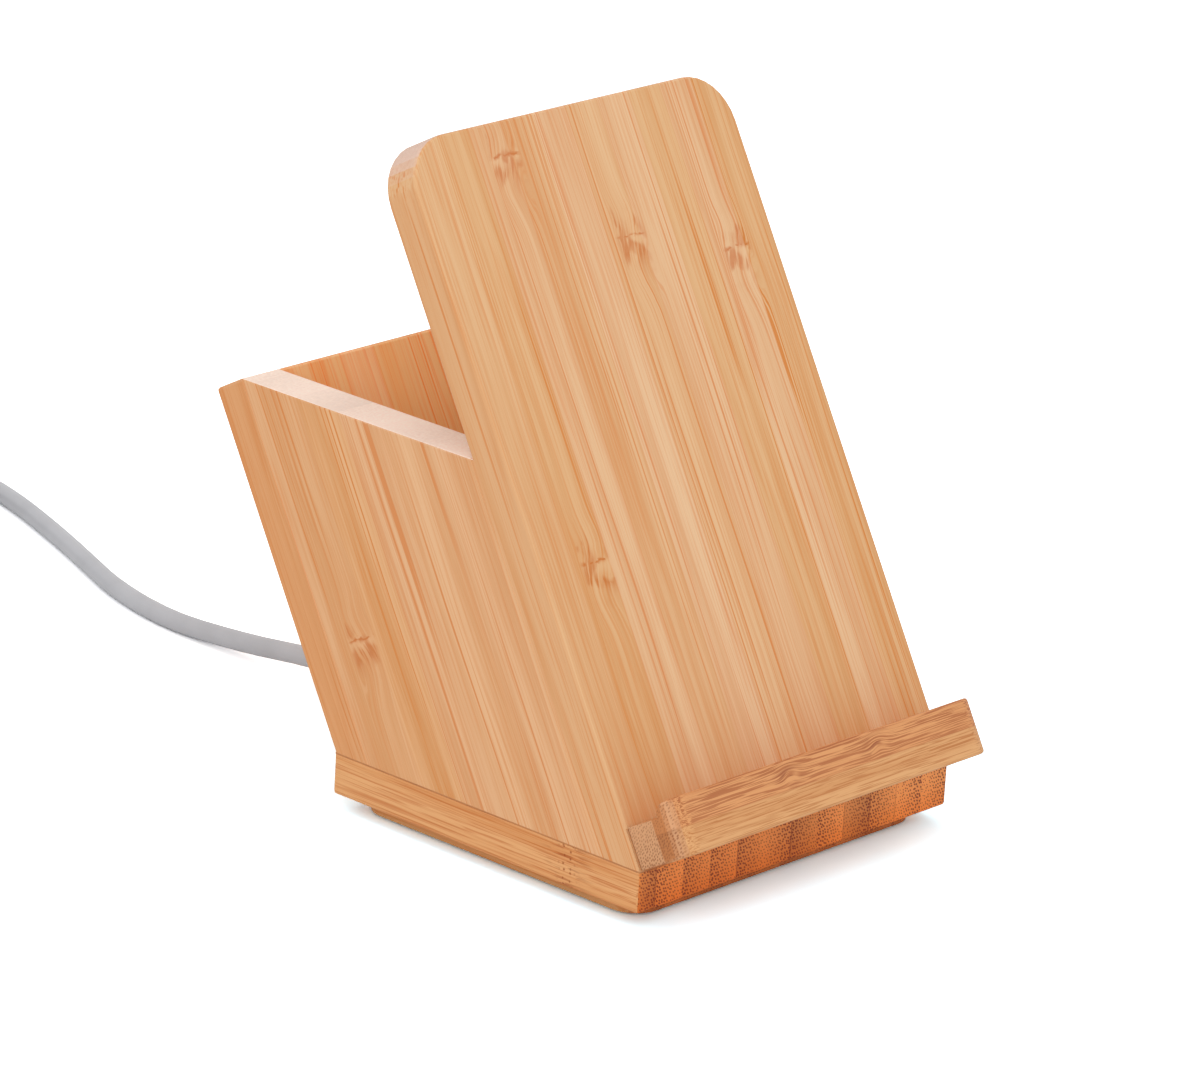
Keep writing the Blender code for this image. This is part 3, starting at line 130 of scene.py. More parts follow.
wound, wound_heading = coil_run()
first_run = smooth_run([LEAD_START, Vector(LEAD_START) + Vector((0, LEAD_STRAIGHT, 0)), *LEAD_ROUTE,
                        wound[0] - wound_heading * LEAD_STRAIGHT], LEAD_STEP)
last_run = smooth_run([wound[-1] + wound_heading * LEAD_STRAIGHT, *TAIL_ROUTE], LEAD_STEP)
lead_points = [*first_run, *wound, *last_run]
lead_length = sum((b - a).length for a, b in zip(lead_points, lead_points[1:]))
lead_curve = bpy.data.curves.new("usb_lead_jacket", "CURVE")
lead_curve.dimensions = "3D"
lead_curve.bevel_depth = LEAD_DIAMETER / 2
lead_curve.bevel_resolution = 4
lead_curve.use_fill_caps = True
lead_spline = lead_curve.splines.new("POLY")
lead_spline.points.add(len(lead_points) - 1)
for point, place in zip(lead_spline.points, lead_points):
    point.co = (*place, 1)
lead_spline.use_smooth = True
lead = new_object("usb_lead_jacket", lead_curve)


def srgb(red, green, blue):
    """A colour as it shows on a screen, as the linear values that a shader takes."""
    return (*[c / 12.92 if c <= 0.04045 else ((c + 0.055) / 1.055) ** 2.4 for c in (red, green, blue)], 1.0)


def joined_by(operation):
    """A method that makes a Math node of an output and another output or a number."""
    def method(self, other):
        return maths(self.tree, operation, self, other)
    return method


class Output:
    """An output of a node. Sums, products and comparisons of outputs and numbers become Math nodes."""

    __add__ = joined_by("ADD")
    __sub__ = joined_by("SUBTRACT")
    __mul__ = joined_by("MULTIPLY")
    __truediv__ = joined_by("DIVIDE")
    __gt__ = joined_by("GREATER_THAN")
    __lt__ = joined_by("LESS_THAN")
    larger = joined_by("MAXIMUM")

    def __init__(self, tree, socket):
        self.tree = tree
        self.socket = socket

    def __getitem__(self, key):
        """Another output of the same node, by name or number."""
        return Output(self.tree, self.socket.node.outputs[key])

    def __rsub__(self, other):
        return maths(self.tree, "SUBTRACT", other, self)

    def __abs__(self):
        return maths(self.tree, "ABSOLUTE", self)

    def clamped(self):
        """The same, kept between 0 and 1."""
        self.socket.node.use_clamp = True
        return self


def fill(tree, made, values):
    """Gives a node's inputs, by name or number, their values or the outputs that feed them."""
    for key, value in values.items():
        for item in value if isinstance(value, list) else [value]:
            if isinstance(item, Output):
                tree.links.new(item.socket, made.inputs[key])
            else:
                made.inputs[key].default_value = item
    return made


def new_node(tree, kind, values, settings):
    """Puts a node in a tree and gives its first output, which leads to the others."""
    made = tree.nodes.new(kind)
    for name, value in settings.items():
        setattr(made, name, value)
    return Output(tree, fill(tree, made, dict(values)).outputs[0])


def add(tree, kind, values=(), **settings):
    """A shader node, by the end of its type's name."""
    return new_node(tree, "ShaderNode" + kind, values, settings)


def maths(tree, operation, *terms):
    return add(tree, "Math", enumerate(terms), operation=operation)


def ramp(value, low, high):
    """A smooth rise from 0 at low to 1 at high, or a fall where low is above high."""
    start, end, goes = (low, high, (0.0, 1.0)) if low < high else (high, low, (1.0, 0.0))
    limits = {"From Min": start, "From Max": end, "To Min": goes[0], "To Max": goes[1]}
    return add(value.tree, "MapRange", {"Value": value, **limits}, interpolation_type="SMOOTHSTEP")


def blend_colours(share, low, high):
    return add(share.tree, "Mix", {0: share, 6: low, 7: high}, data_type="RGBA")[2]


def noise(place, scale=1.0, detail=2.0):
    return add(place.tree, "TexNoise", {"Vector": place, "Scale": scale, "Detail": detail})


def new_group(name, inputs, outputs, tree_kind="ShaderNodeTree"):
    """A node group with its sockets, each of a name, a kind and perhaps a value; gives the tree and its
    inputs."""
    tree = bpy.data.node_groups.new(name, tree_kind)
    kinds = {"number": "Float", "vector": "Vector", "colour": "Color", "count": "Int", "finish": "Material",
             "mesh": "Geometry"}
    for way, sockets in (("INPUT", inputs), ("OUTPUT", outputs)):
        for socket, kind, *value in sockets:
            socket_type = "NodeSocket" + kinds[kind]
            made = tree.interface.new_socket(name=socket, in_out=way, socket_type=socket_type)
            if value:
                made.default_value = value[0]
    return tree, Output(tree, tree.nodes.new("NodeGroupInput").outputs[0])


def give(tree, results):
    """Ends a group: what it works out goes to its outputs."""
    fill(tree, tree.nodes.new("NodeGroupOutput"), results)
    return tree


def place_group(tree, group, values):
    return new_node(tree, "ShaderNodeGroup", values, {"node_tree": group})


def new_finish(name, plain=()):
    """A material, its tree and its Principled shader, with plain values on the shader's own sockets."""
    material = bpy.data.materials.new(name)
    material.use_nodes = True
    tree = material.node_tree
    return material, tree, fill(tree, tree.nodes["Principled BSDF"], dict(plain))


def join_skin(tree, shader, colour, skin, relief, depth):
    """Connects a colour and a skin's roughness and height to the shader, the height as relief."""
    bump = add(tree, "Bump", {"Height": skin["Height"], "Strength": relief, "Distance": depth})
    fill(tree, shader, {"Base Color": colour, "Roughness": skin["Roughness"], "Normal": bump})


def skin_finish(name, group, values, relief, depth, plain=()):
    """A material whose skin comes from a group that is placed on the piece's own coordinates."""
    material, tree, shader = new_finish(name, plain)
    skin = place_group(tree, group, {"Place": add(tree, "TexCoord")["Object"], **values})
    join_skin(tree, shader, skin["Colour"], skin, relief, depth)
    return material


SKIN = (("Colour", "colour"), ("Roughness", "number"), ("Height", "number"))
MOULDED_DEPTH = 0.0002


def moulded_group():
    """A moulded or extruded skin: faint clouding and fine grain."""
    tree, given = new_group(
        "moulded_skin",
        [("Place", "vector"), ("Colour", "colour"), ("Shade", "colour"), ("Grain", "number"),
         ("Roughness", "number")], SKIN)
    cloud = noise(given["Place"], 130.0, 3.0)
    fine = noise(given["Place"], given["Grain"])
    colour = blend_colours(ramp(cloud, 0.35, 0.75) * 0.55, given["Colour"], given["Shade"])
    rough = cloud * 0.12 + given["Roughness"] - 0.08
    return give(tree, {"Colour": colour, "Roughness": fine * 0.06 + rough, "Height": fine})


moulded = moulded_group()


def moulded_finish(name, colour, shade, roughness, grain=3000.0, relief=0.02):
    """A plastic, rubber or ceramic skin in one colour with its slight variation."""
    values = {"Colour": srgb(*colour), "Shade": srgb(*shade), "Grain": grain, "Roughness": roughness}
    return skin_finish(name, moulded, values, relief, MOULDED_DEPTH)


jacket = moulded_finish("lead_jacket", (0.735, 0.735, 0.75), (0.68, 0.68, 0.695), 0.35, relief=0.05)
lead_curve.materials.append(jacket)


# Tie round the coil
# A strip of soft black hook-and-loop tape, 6 mm wide, wrapped once round the seven loops.
# It holds the spare lead together as it comes from the maker's box.
TIE_ANGLE = radians(118)
TIE_WIDTH = 0.006
TIE_THICKNESS = 0.0004
TIE_REACH = (0.0094, 0.0291)
TIE_FOOT = 0.00002
TIE_TOP = 0.0080
TIE_CORNER = 0.0022


def closed_piece(name, mesh_maker, material):
    """A mesh object at the origin from a function that fills a bmesh, its faces pointing out."""
    bm = bmesh.new()
    mesh_maker(bm)
    bmesh.ops.remove_doubles(bm, verts=bm.verts, dist=1e-7)
    bmesh.ops.recalc_face_normals(bm, faces=bm.faces)
    mesh = bpy.data.meshes.new(name)
    bm.to_mesh(mesh)
    bm.free()
    mesh.materials.append(material)
    return new_object(name, mesh)


def round_corners(low_x, low_z, high_x, high_z, radius, steps=6):
    """Points round a rectangle with round corners, as (x, z)."""
    corners = ((high_x - radius, high_z - radius, 0), (low_x + radius, high_z - radius, 1),
               (low_x + radius, low_z + radius, 2), (high_x - radius, low_z + radius, 3))
    points = []
    for x, z, quarter in corners:
        for k in range(steps + 1):
            angle = (quarter + k / steps) * pi / 2
            points.append((x + radius * cos(angle), z + radius * sin(angle)))
    return points


def tie_band(bm):
    """The band: its outer and inner faces and its two edges, in a loop round the wound lead."""
    near, far = TIE_REACH
    t = TIE_THICKNESS
    outer = round_corners(near, TIE_FOOT, far, TIE_TOP, TIE_CORNER)
    inner = round_corners(near + t, TIE_FOOT + t / 2, far - t, TIE_TOP - t, TIE_CORNER - t)
    out = Vector((cos(TIE_ANGLE), sin(TIE_ANGLE), 0))
    across = Vector((-sin(TIE_ANGLE), cos(TIE_ANGLE), 0))
    centre = Vector((*COIL_CENTRE, 0))
    rings = []
    for loop in (outer, inner):
        for side in (-1, 1):
            rings.append([bm.verts.new(centre + out * r + across * side * TIE_WIDTH / 2 + Vector((0, 0, z)))
                          for r, z in loop])
    count = len(outer)
    for i in range(count):
        j = (i + 1) % count
        for a, b in ((0, 1), (2, 3), (0, 2), (1, 3)):
            bm.faces.new((rings[a][i], rings[a][j], rings[b][j], rings[b][i]))


tape, tape_tree, tape_shader = new_finish("hook_and_loop_tape", {"Roughness": 0.9})
tape_place = add(tape_tree, "TexCoord")["Object"]
tape_weave = add(tape_tree, "TexWave", {"Vector": tape_place, "Scale": 900.0, "Distortion": 1.5,
                                        "Detail": 2.0})
tape_fuzz = noise(tape_place, 2600.0, 4.0)
fill(tape_tree, tape_shader, {
    "Base Color": blend_colours(tape_fuzz, srgb(0.07, 0.07, 0.075), srgb(0.20, 0.20, 0.21)),
    "Normal": add(tape_tree, "Bump", {"Height": tape_weave["Fac"] + tape_fuzz, "Strength": 0.5,
                                      "Distance": MOULDED_DEPTH})})
tie = closed_piece("lead_tie", tie_band, tape)
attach(tie, "root")


# Plugs of the lead
# A USB-C plug pushed home in the stand and a USB-A plug at the far end: plated steel shells in bodies of
# white thermoplastic that are moulded over the lead, with ribs behind them where it bends.
WORKED_RELIEF = 0.05
WORKED_DEPTH = 0.0001


def drawn_noise(place, scales, detail):
    """Noise with its own scale along each axis, which draws it out along the axis with the smallest."""
    return noise(add(place.tree, "Mapping", {"Vector": place, "Scale": scales}), detail=detail)


def metal_group():
    """Plated or drawn metal: soft patches, and fine lines along one way."""
    tree, given = new_group(
        "worked_metal",
        [("Place", "vector"), ("Colour", "colour"), ("Worn", "colour"), ("Roughness", "number")], SKIN)
    patch = noise(given["Place"], 400.0, 3.0)
    return give(tree, {"Colour": blend_colours(ramp(patch, 0.4, 0.75), given["Colour"], given["Worn"]),
                       "Roughness": patch * 0.18 + (given["Roughness"] - 0.07),
                       "Height": drawn_noise(given["Place"], (2500.0, 2500.0, 220.0), 3.0)})


worked_metal = metal_group()


def metal_finish(name, colour, worn, roughness):
    values = {"Colour": srgb(*colour), "Worn": srgb(*worn), "Roughness": roughness}
    return skin_finish(name, worked_metal, values, WORKED_RELIEF, WORKED_DEPTH, {"Metallic": 1.0})


def dress(material, *names):
    """Gives CAD nodes a finish."""
    for name in names:
        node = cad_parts[name]
        node.data.materials.clear()
        node.data.materials.append(material)


plated = metal_finish("plated_steel", (0.80, 0.80, 0.81), (0.68, 0.68, 0.70), 0.28)
plug_white = moulded_finish("plug_white", (0.86, 0.86, 0.87), (0.82, 0.82, 0.84), 0.40, relief=0.04)
tongue_white = moulded_finish("tongue_white", (0.90, 0.90, 0.91), (0.84, 0.84, 0.86), 0.35)
dress(plated, "plug_shell", "usb_a_shell")
dress(plug_white, "plug_body", "usb_a_body")
dress(tongue_white, "usb_a_tongue")
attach(lead, "root")
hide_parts("usb_lead", "usb_lead_coil", "usb_lead_tail")


# Front panel
# The tall charging board, glued up from ten strips of bamboo of 7.5 mm with their fibres running up the
# slope. It is planed to 7 mm, its top corners are rounded, and it is lacquered clear.
LEAN = radians(29.5)
FOOT_OF_SLOPE = (0.0, -0.044109, 0.0099)
STRIP = 0.0075
BOARD_RELIEF = 0.25
BOARD_DEPTH = 0.00008


def split_xyz(place):
    parts = add(place.tree, "SeparateXYZ", {0: place})
    return parts, parts[1], parts[2]


def join_xyz(tree, x=0.0, y=0.0, z=0.0):
    return add(tree, "CombineXYZ", {0: x, 1: y, 2: z})


def hump(value, centre, width):
    """A bell of height 1 round the centre."""
    away = (value - centre) / width
    return maths(value.tree, "EXPONENT", away * away * -1.0)


def point_distance(place, scale, randomness):
    """How far a place is from the nearest of many scattered points on a plane."""
    return add(place.tree, "TexVoronoi", {"Vector": place, "Scale": scale, "Randomness": randomness},
               voronoi_dimensions="2D")["Distance"]


def mark_group(name):
    """A group for a mark in one strip; gives its tree, its inputs and the place on the board as x, y, z."""
    tree, given = new_group(
        name, [("Board", "vector"), ("Across", "number"), ("Along", "number"), ("Half Width", "number")],
        [("Shift", "number"), ("Dark", "number"), ("Pale", "number")])
    return tree, given, *split_xyz(given["Board"])


def knot_group():
    """A bamboo joint in one strip: the fibres swerve below a broken bar with a pale saddle and dashes."""
    tree, given, x, y, z = mark_group("bamboo_knot")
    along = z - given["Along"] + (noise(given["Board"], 420.0) * 0.0020 - 0.0010)
    inside = ramp(abs(x - given["Across"]) / given["Half Width"], 1.0, 0.60)
    bend = hump(along, -0.0050, 0.0050) - hump(along, 0.0040, 0.0034) * 0.5
    shift = bend * inside * 0.0014
    grain = drawn_noise(join_xyz(tree, x + shift, y, z), (1500.0, 1500.0, 210.0), 1.0)
    below = hump(along, -0.0024, 0.0018) * ramp(grain, 0.48, 0.54)
    above = hump(along, 0.0026, 0.0024) * ramp(grain, 0.57, 0.66)
    uneven = noise(given["Board"], 330.0, 0.0)
    ticks = below.larger(above) * ramp(uneven, 0.34, 0.50)
    shade = hump(along, -0.0010, 0.0034) * ramp(uneven, 0.40, 0.58)
    ticks = ticks.larger(shade * ramp(grain, 0.30, 0.56))
    patches = drawn_noise(given["Board"], (560.0, 560.0, 1000.0), 1.0)
    bar = hump(along, 0.0004, 0.00034) * ramp(patches, 0.44, 0.54)
    return give(tree, {"Shift": shift, "Dark": ((ticks * 0.85).larger(bar) * inside).clamped(),
                       "Pale": (hump(along, -0.0004, 0.0011) * inside).clamped()})


def eye_group():
    """A bamboo joint cut along its edge: a small pale eye, with the fibres swept round it from one side."""
    tree, given, x, y, z = mark_group("bamboo_eye")
    across = x - given["Across"]
    along = z - given["Along"]

    def spot(across_size, along_size, along_shift=0.0):
        a = across / across_size
        b = (along + along_shift) / along_size
        return maths(tree, "EXPONENT", (a * a + b * b) * -1.0)

    swell = spot(given["Half Width"], 0.0042, 0.0014)
    shift = across * swell * -0.40 + hump(along, -0.0012, 0.0024) * swell * -0.0006
    pale = spot(0.00050, 0.00080)
    lines = drawn_noise(join_xyz(tree, x + shift, y, z), (2300.0, 2300.0, 160.0), 1.0)
    near = spot(0.0017, 0.0032, 0.0020) * ramp(lines, 0.52, 0.60)
    return give(tree, {"Shift": shift, "Dark": (near * 0.85 - pale * 1.5).clamped(), "Pale": pale})


def bamboo_group():
    """Laminated bamboo as a solid: X runs across the strips, Z along the fibres. It gives the colour of a
    face along the fibres, the colour of a face across them, the roughness and the height."""
    tree, given = new_group(
        "laminated_bamboo",
        [("Board", "vector"), ("Strip", "number"), ("Seed", "number"), ("Tone", "number", 0.06),
         ("Shift", "number"), ("Dark", "number"), ("Pale", "number"),
         ("Light", "colour", srgb(0.915, 0.740, 0.555)), ("Middle", "colour", srgb(0.872, 0.652, 0.448)),
         ("Streak", "colour", srgb(0.86, 0.54, 0.29)), ("Mark Tone", "colour", srgb(0.80, 0.46, 0.22)),
         ("Streaks", "number", 0.90), ("Line Pitch", "number", 0.00047), ("Line Run", "number", 0.06),
         ("Line Level", "number", 0.575), ("Crests", "number", 1.0), ("Joints", "number", 0.55),
         ("End", "colour", srgb(0.82, 0.48, 0.25)), ("End Dot", "colour", srgb(0.58, 0.24, 0.10)),
         ("Dot Pitch", "number", 0.00060), ("Dots", "number", 0.75)],
        (("End Colour", "colour"), *SKIN))
    x, y, z = split_xyz(given["Board"])
    place = x / given["Strip"]
    seed = maths(tree, "FLOOR", place) + given["Seed"]

    def chance(number):
        return add(tree, "TexWhiteNoise", {"W": number}, noise_dimensions="1D")["Value"]

    even = chance(seed) - 0.5
    outer = abs(maths(tree, "FRACT", place) - (chance(seed + 0.37) > 0.4))
    sway = noise(join_xyz(tree, seed * 3.1, 0.0, z * 16.0), detail=1.0)
    across = x + (sway * 0.0012 + given["Shift"])
    through = sway * 0.0008 + y
    along = z + seed * 0.0371

    def fibres(pitch, run, detail):
        return noise(join_xyz(tree, across / pitch, through / pitch, along / run), detail=detail)

    broad = ramp(fibres(0.0040, 0.17, 2.0), 0.34, 0.68)
    gate = ramp(fibres(0.0034, 0.11, 1.0), 0.42, 0.58)
    crests = ramp(fibres(given["Line Pitch"], given["Line Run"] * 2.4, 0.0), 0.60, 0.69)
    crests = crests * (gate * 0.78 + 0.22) * given["Crests"]
    fine = fibres(given["Line Pitch"] * 0.75, given["Line Run"], 1.0)
    dashes = ramp(fine - given["Line Level"], 0.0, 0.085)
    dashes = (dashes * (outer * 0.35 + (given["Crests"] * -0.50 + 0.70))).clamped()
    hair = fibres(0.00034, 0.022, 3.0)
    seam = abs(maths(tree, "FRACT", place + 0.5) - 0.5) * given["Strip"]
    seam_tone = chance(maths(tree, "ROUND", place) + (given["Seed"] + 0.71))
    seam = ramp(seam, 0.00024, 0.00008) * (seam_tone * given["Joints"])
    row = through / given["Dot Pitch"]
    bundle = point_distance(join_xyz(tree, across / given["Dot Pitch"] + row * 0.5, row), 1.0, 0.55)
    dots = ramp(bundle - (outer * 0.09 + 0.23), 0.10, -0.08)

    base = blend_colours(broad, given["Light"], given["Middle"])
    base = blend_colours(ramp(hair, 0.50, 0.70) * 0.42, base, given["Streak"])
    base = blend_colours(ramp(hair, 0.50, 0.30) * 0.50, base, given["Light"])
    base = blend_colours((crests.larger(dashes) * given["Streaks"]).larger(seam), base, given["Streak"])
    base = blend_colours(given["Pale"] * 0.6, base, given["Light"])
    base = blend_colours(given["Dark"] * 0.90, base, given["Mark Tone"])
    tinted = add(tree, "HueSaturation", {"Value": even * given["Tone"] + 1.0,
                                         "Saturation": even * -0.10 + 1.0, "Color": base})

    level = outer * (given["Tone"] * -2.2) + (even * (given["Tone"] * 4.4) + 1.08)
    level = level + (noise(given["Board"], 1100.0, 3.0) * 0.20 - 0.10)
    end = add(tree, "HueSaturation", {"Value": level, "Color": given["End"]})
    dense = dots * ((outer * 0.45 + 0.55) * given["Dots"])
    end = blend_colours(dense.larger(seam), end, given["End Dot"])
    return give(tree, {"Colour": tinted, "End Colour": end, "Roughness": hair * 0.14 + 0.46,
                       "Height": hair - dots * 0.5})


eye = eye_group()
knot = knot_group()
laminated = bamboo_group()


def board_place(tree, axes, leaning=True, start=0.0):
    """The place on a board: its first axis runs across the strips, from the start, its third along them."""
    place = add(tree, "TexCoord")["Object"]
    if leaning:
        slope = {"Location": FOOT_OF_SLOPE, "Rotation": (-LEAN, 0.0, 0.0)}
        place = add(tree, "Mapping", {"Vector": place, **slope}, vector_type="TEXTURE")
    parts = split_xyz(add(tree, "VectorMath", {0: place, 1: (start, 0.0, 0.0)}, operation="SUBTRACT"))
    return join_xyz(tree, *[parts[axis] for axis in axes])


def facing(tree, way):
    """How far a face looks along the way given, or against it, from 0 to 1."""
    normal = add(tree, "TexCoord")["Normal"]
    return abs(add(tree, "VectorMath", {0: normal, 1: way}, operation="DOT_PRODUCT")["Value"])


def bamboo_finish(name, place_maker, fibre_way, knots=(), mark=knot, end_from=0.35, end_to=0.8, **values):
    """A board's finish: the solid pattern, its knots, and end grain on the faces across the fibres. A value
    may be a function that makes the value from the board's coordinates."""
    material, tree, shader = new_finish(name, {"Specular IOR Level": 0.28})
    board = place_maker(tree)
    totals = {"Shift": 0.0, "Dark": 0.0, "Pale": 0.0}
    for across, along, half_width in knots:
        middle = {"Across": across, "Along": along, "Half Width": half_width}
        made = place_group(tree, mark, {"Board": board, **middle})
        for key in totals:
            totals[key] = made[key] + totals[key]
    for key, value in values.items():
        totals[key.replace("_", " ").title()] = value(board) if callable(value) else value
    pattern = place_group(tree, laminated, {"Board": board, **totals})
    end_share = ramp(facing(tree, fibre_way), end_from, end_to)
    colour = blend_colours(end_share, pattern["Colour"], pattern["End Colour"])
    join_skin(tree, shader, colour, pattern, BOARD_RELIEF, BOARD_DEPTH)
    return material


UP_SLOPE = (0.0, sin(LEAN), cos(LEAN))
PALE_END = {"end": srgb(0.895, 0.76, 0.68), "end_dot": srgb(0.86, 0.69, 0.60), "dots": 0.5}
panel_bamboo = bamboo_finish(
    "panel_bamboo", lambda tree: board_place(tree, (0, 1, 2), start=-0.0375), UP_SLOPE,
    knots=((0.0210, 0.1139, 0.0040), (0.0428, 0.0965, 0.0040), (0.0655, 0.0906, 0.0038),
           (0.0120, 0.0480, 0.0038)),
    strip=STRIP, seed=11.0, **PALE_END)
dress(panel_bamboo, "front_panel")


# Charging coil
# One enamelled wire of seven strands laid up together, wound flat in nine turns on a former. Both its ends
# run down the channel in the panel's back to the circuit board's terminals.
COIL_HEIGHT = 0.050
COIL_TURNS = 9.25
COIL_OUTER_RADIUS = 0.0245
WIRE_PITCH = 0.00155
WIRE_RADIUS = 0.00055
WIRE_DEPTH = 0.00265
CROSSING_DEPTH = 0.0042
LEAD_SPREAD = 0.0016
LEAD_BEND = 0.0024
LEAD_DIVE = 0.010
WIRE_RUN_HEIGHT = 0.00485
TERMINAL_FRONT = -0.0052087
CHANNEL_STEPS = 8
POINTS_PER_LOBE = 4
LOBE_RELIEF = 0.07
level_rise = tan(LEAN)


def on_slope(x, depth, height):
    """A point of the leaning boards in world coordinates."""
    return Vector((x, FOOT_OF_SLOPE[1] + depth * cos(LEAN) + height * sin(LEAN),
                   FOOT_OF_SLOPE[2] - depth * sin(LEAN) + height * cos(LEAN)))


def spiral_path():
    """Up the channel on one side, round the flat spiral inwards, behind it, and down on the other side."""
    foot = COIL_HEIGHT - COIL_OUTER_RADIUS
    quarter = POINTS_PER_TURN // 4
    points = []
    for k in range(quarter):
        share = k / quarter
        depth = CROSSING_DEPTH + (WIRE_DEPTH - CROSSING_DEPTH) * (1 - cos(pi * share)) / 2
        points.append((-LEAD_SPREAD, depth, foot - LEAD_BEND - LEAD_DIVE * (1 - share)))
    for k in range(quarter):
        angle = k / quarter * pi / 2
        points.append((-LEAD_SPREAD - LEAD_BEND * (1 - cos(angle)), WIRE_DEPTH,
                       foot - LEAD_BEND * (1 - sin(angle))))
    bend_turn = (LEAD_SPREAD + LEAD_BEND) / (2 * pi * COIL_OUTER_RADIUS)
    steps = round(COIL_TURNS * POINTS_PER_TURN)
    for k in range(steps + 1):
        turn = bend_turn + (COIL_TURNS - bend_turn) * k / steps
        radius = COIL_OUTER_RADIUS - WIRE_PITCH * (turn - bend_turn)
        angle = -pi / 2 - 2 * pi * turn
        points.append((radius * cos(angle), WIRE_DEPTH, COIL_HEIGHT + radius * sin(angle)))
    inner = -points[-1][0]
    bend = (inner + LEAD_SPREAD) / 2
    for k in range(1, 2 * quarter + 1):
        angle = pi * k / (2 * quarter)
        depth = WIRE_DEPTH + (CROSSING_DEPTH - WIRE_DEPTH) * (1 - cos(angle)) / 2
        points.append((-inner + bend - bend * cos(angle), depth, COIL_HEIGHT + bend * sin(angle)))
    points.append((LEAD_SPREAD, CROSSING_DEPTH, foot - LEAD_BEND - LEAD_DIVE))
    return [on_slope(*point) for point in points]


def channel_end(x):
    """One end of the wire from the panel's foot to its terminal, bent level under the panel."""
    down = Vector((0, -sin(LEAN), -cos(LEAN)))
    turn = pi / 2 + LEAN
    low = on_slope(x, CROSSING_DEPTH, CROSSING_DEPTH * level_rise)
    start = low + down * ((low.z - WIRE_RUN_HEIGHT - LEAD_BEND * (1 - cos(turn))) / cos(LEAN))
    centre_y = start.y + LEAD_BEND * sin(turn)
    points = [start]
    for k in range(1, CHANNEL_STEPS + 1):
        angle = turn * (1 - k / CHANNEL_STEPS)
        height = WIRE_RUN_HEIGHT + LEAD_BEND * (1 - cos(angle))
        points.append(Vector((x, centre_y - LEAD_BEND * sin(angle), height)))
    return [*points, Vector((x, TERMINAL_FRONT, WIRE_RUN_HEIGHT))]


def new_nodes(name, sizes, counts, places=()):
    """A geometry node group on the start mesh; gives the tree and the first of its inputs."""
    inputs = [("Geometry", "mesh"), ("Finish", "finish"), *[(size, "number") for size in sizes],
              *[(count, "count") for count in counts], *[(place, "vector") for place in places]]
    return new_group(name, inputs, [("Geometry", "mesh")], "GeometryNodeTree")


def geo(tree, kind, values=(), **settings):
    """A geometry node, by the end of its type's name."""
    return new_node(tree, "GeometryNode" + kind, values, settings)


def sweep(tree, path, ring, scale=1.0):
    shape = {"Curve": path, "Profile Curve": ring, "Scale": scale}
    return geo(tree, "CurveToMesh", {**shape, "Fill Caps": True})


def lay_out(tree, shape, finish):
    """Ends a tree: the instances made real and in their material."""
    real = geo(tree, "RealizeInstances", {"Geometry": shape})
    return give(tree, {"Geometry": geo(tree, "SetMaterial", {"Geometry": real, "Material": finish})})


def start_mesh(points, edges=()):
    """The points or the chain of edges that a geometry node tree starts from."""
    mesh = bpy.data.meshes.new("start")
    mesh.from_pydata([tuple(point) for point in points], edges, [])
    return mesh


def grown_piece(name, start, tree, finish, values):
    """Runs a tree on a start mesh and keeps the result as one plain mesh."""
    start.materials.append(finish)
    made = new_object(name, start)
    modifier = made.modifiers.new(tree.name, "NODES")
    modifier.node_group = tree
    sockets = {item.name: item.identifier for item in tree.interface.items_tree if item.in_out == "INPUT"}
    for key, value in {**values, "Finish": finish}.items():
        modifier[sockets[key]] = value
    made.update_tag()
    graph = bpy.context.evaluated_depsgraph_get()
    grown = made.evaluated_get(graph)
    mesh = bpy.data.meshes.new_from_object(grown, preserve_all_data_layers=True, depsgraph=graph)
    made.modifiers.remove(modifier)
    made.data = mesh
    mesh.name = name
    bpy.data.meshes.remove(start)
    return made


def lobed_ring(tree, lobes, radius, share):
    """A ring with so many lobes, its points moved in or out by a share of the radius."""
    ring = geo(tree, "CurvePrimitiveCircle", {"Resolution": lobes * POINTS_PER_LOBE, "Radius": radius})
    place = add(tree, "VectorMath", {0: geo(tree, "InputPosition"), "Scale": share}, operation="SCALE")
    return geo(tree, "SetPosition", {"Geometry": ring, "Position": place})


def lobe_wave(number):
    """A wave over a ring's points: 1 at the middle of each lobe, -1 between the lobes."""
    return maths(number.tree, "COSINE", number * (2 * pi / POINTS_PER_LOBE))


def stranded_wire_tree():
    """Strands laid up in a helix along the start mesh's chain of edges."""
    tree, given = new_nodes("stranded_wire", ("Radius", "Lay", "Step"), ("Strands",))
    path = geo(tree, "MeshToCurve", {"Mesh": given["Geometry"]})
    path = geo(tree, "ResampleCurve", {"Curve": path, "Length": given["Step"]}, mode="LENGTH")
    twist = geo(tree, "SplineParameter")["Length"] / given["Lay"] * (2 * pi)
    path = geo(tree, "SetCurveTilt", {"Curve": path, "Tilt": twist})
    wave = lobe_wave(geo(tree, "InputIndex"))
    ring = lobed_ring(tree, given["Strands"], given["Radius"],
                      maths(tree, "MULTIPLY_ADD", wave, LOBE_RELIEF, 1 - LOBE_RELIEF))
    wire = geo(tree, "SetShadeSmooth", {"Geometry": sweep(tree, path, ring)})
    return lay_out(tree, wire, given["Finish"])


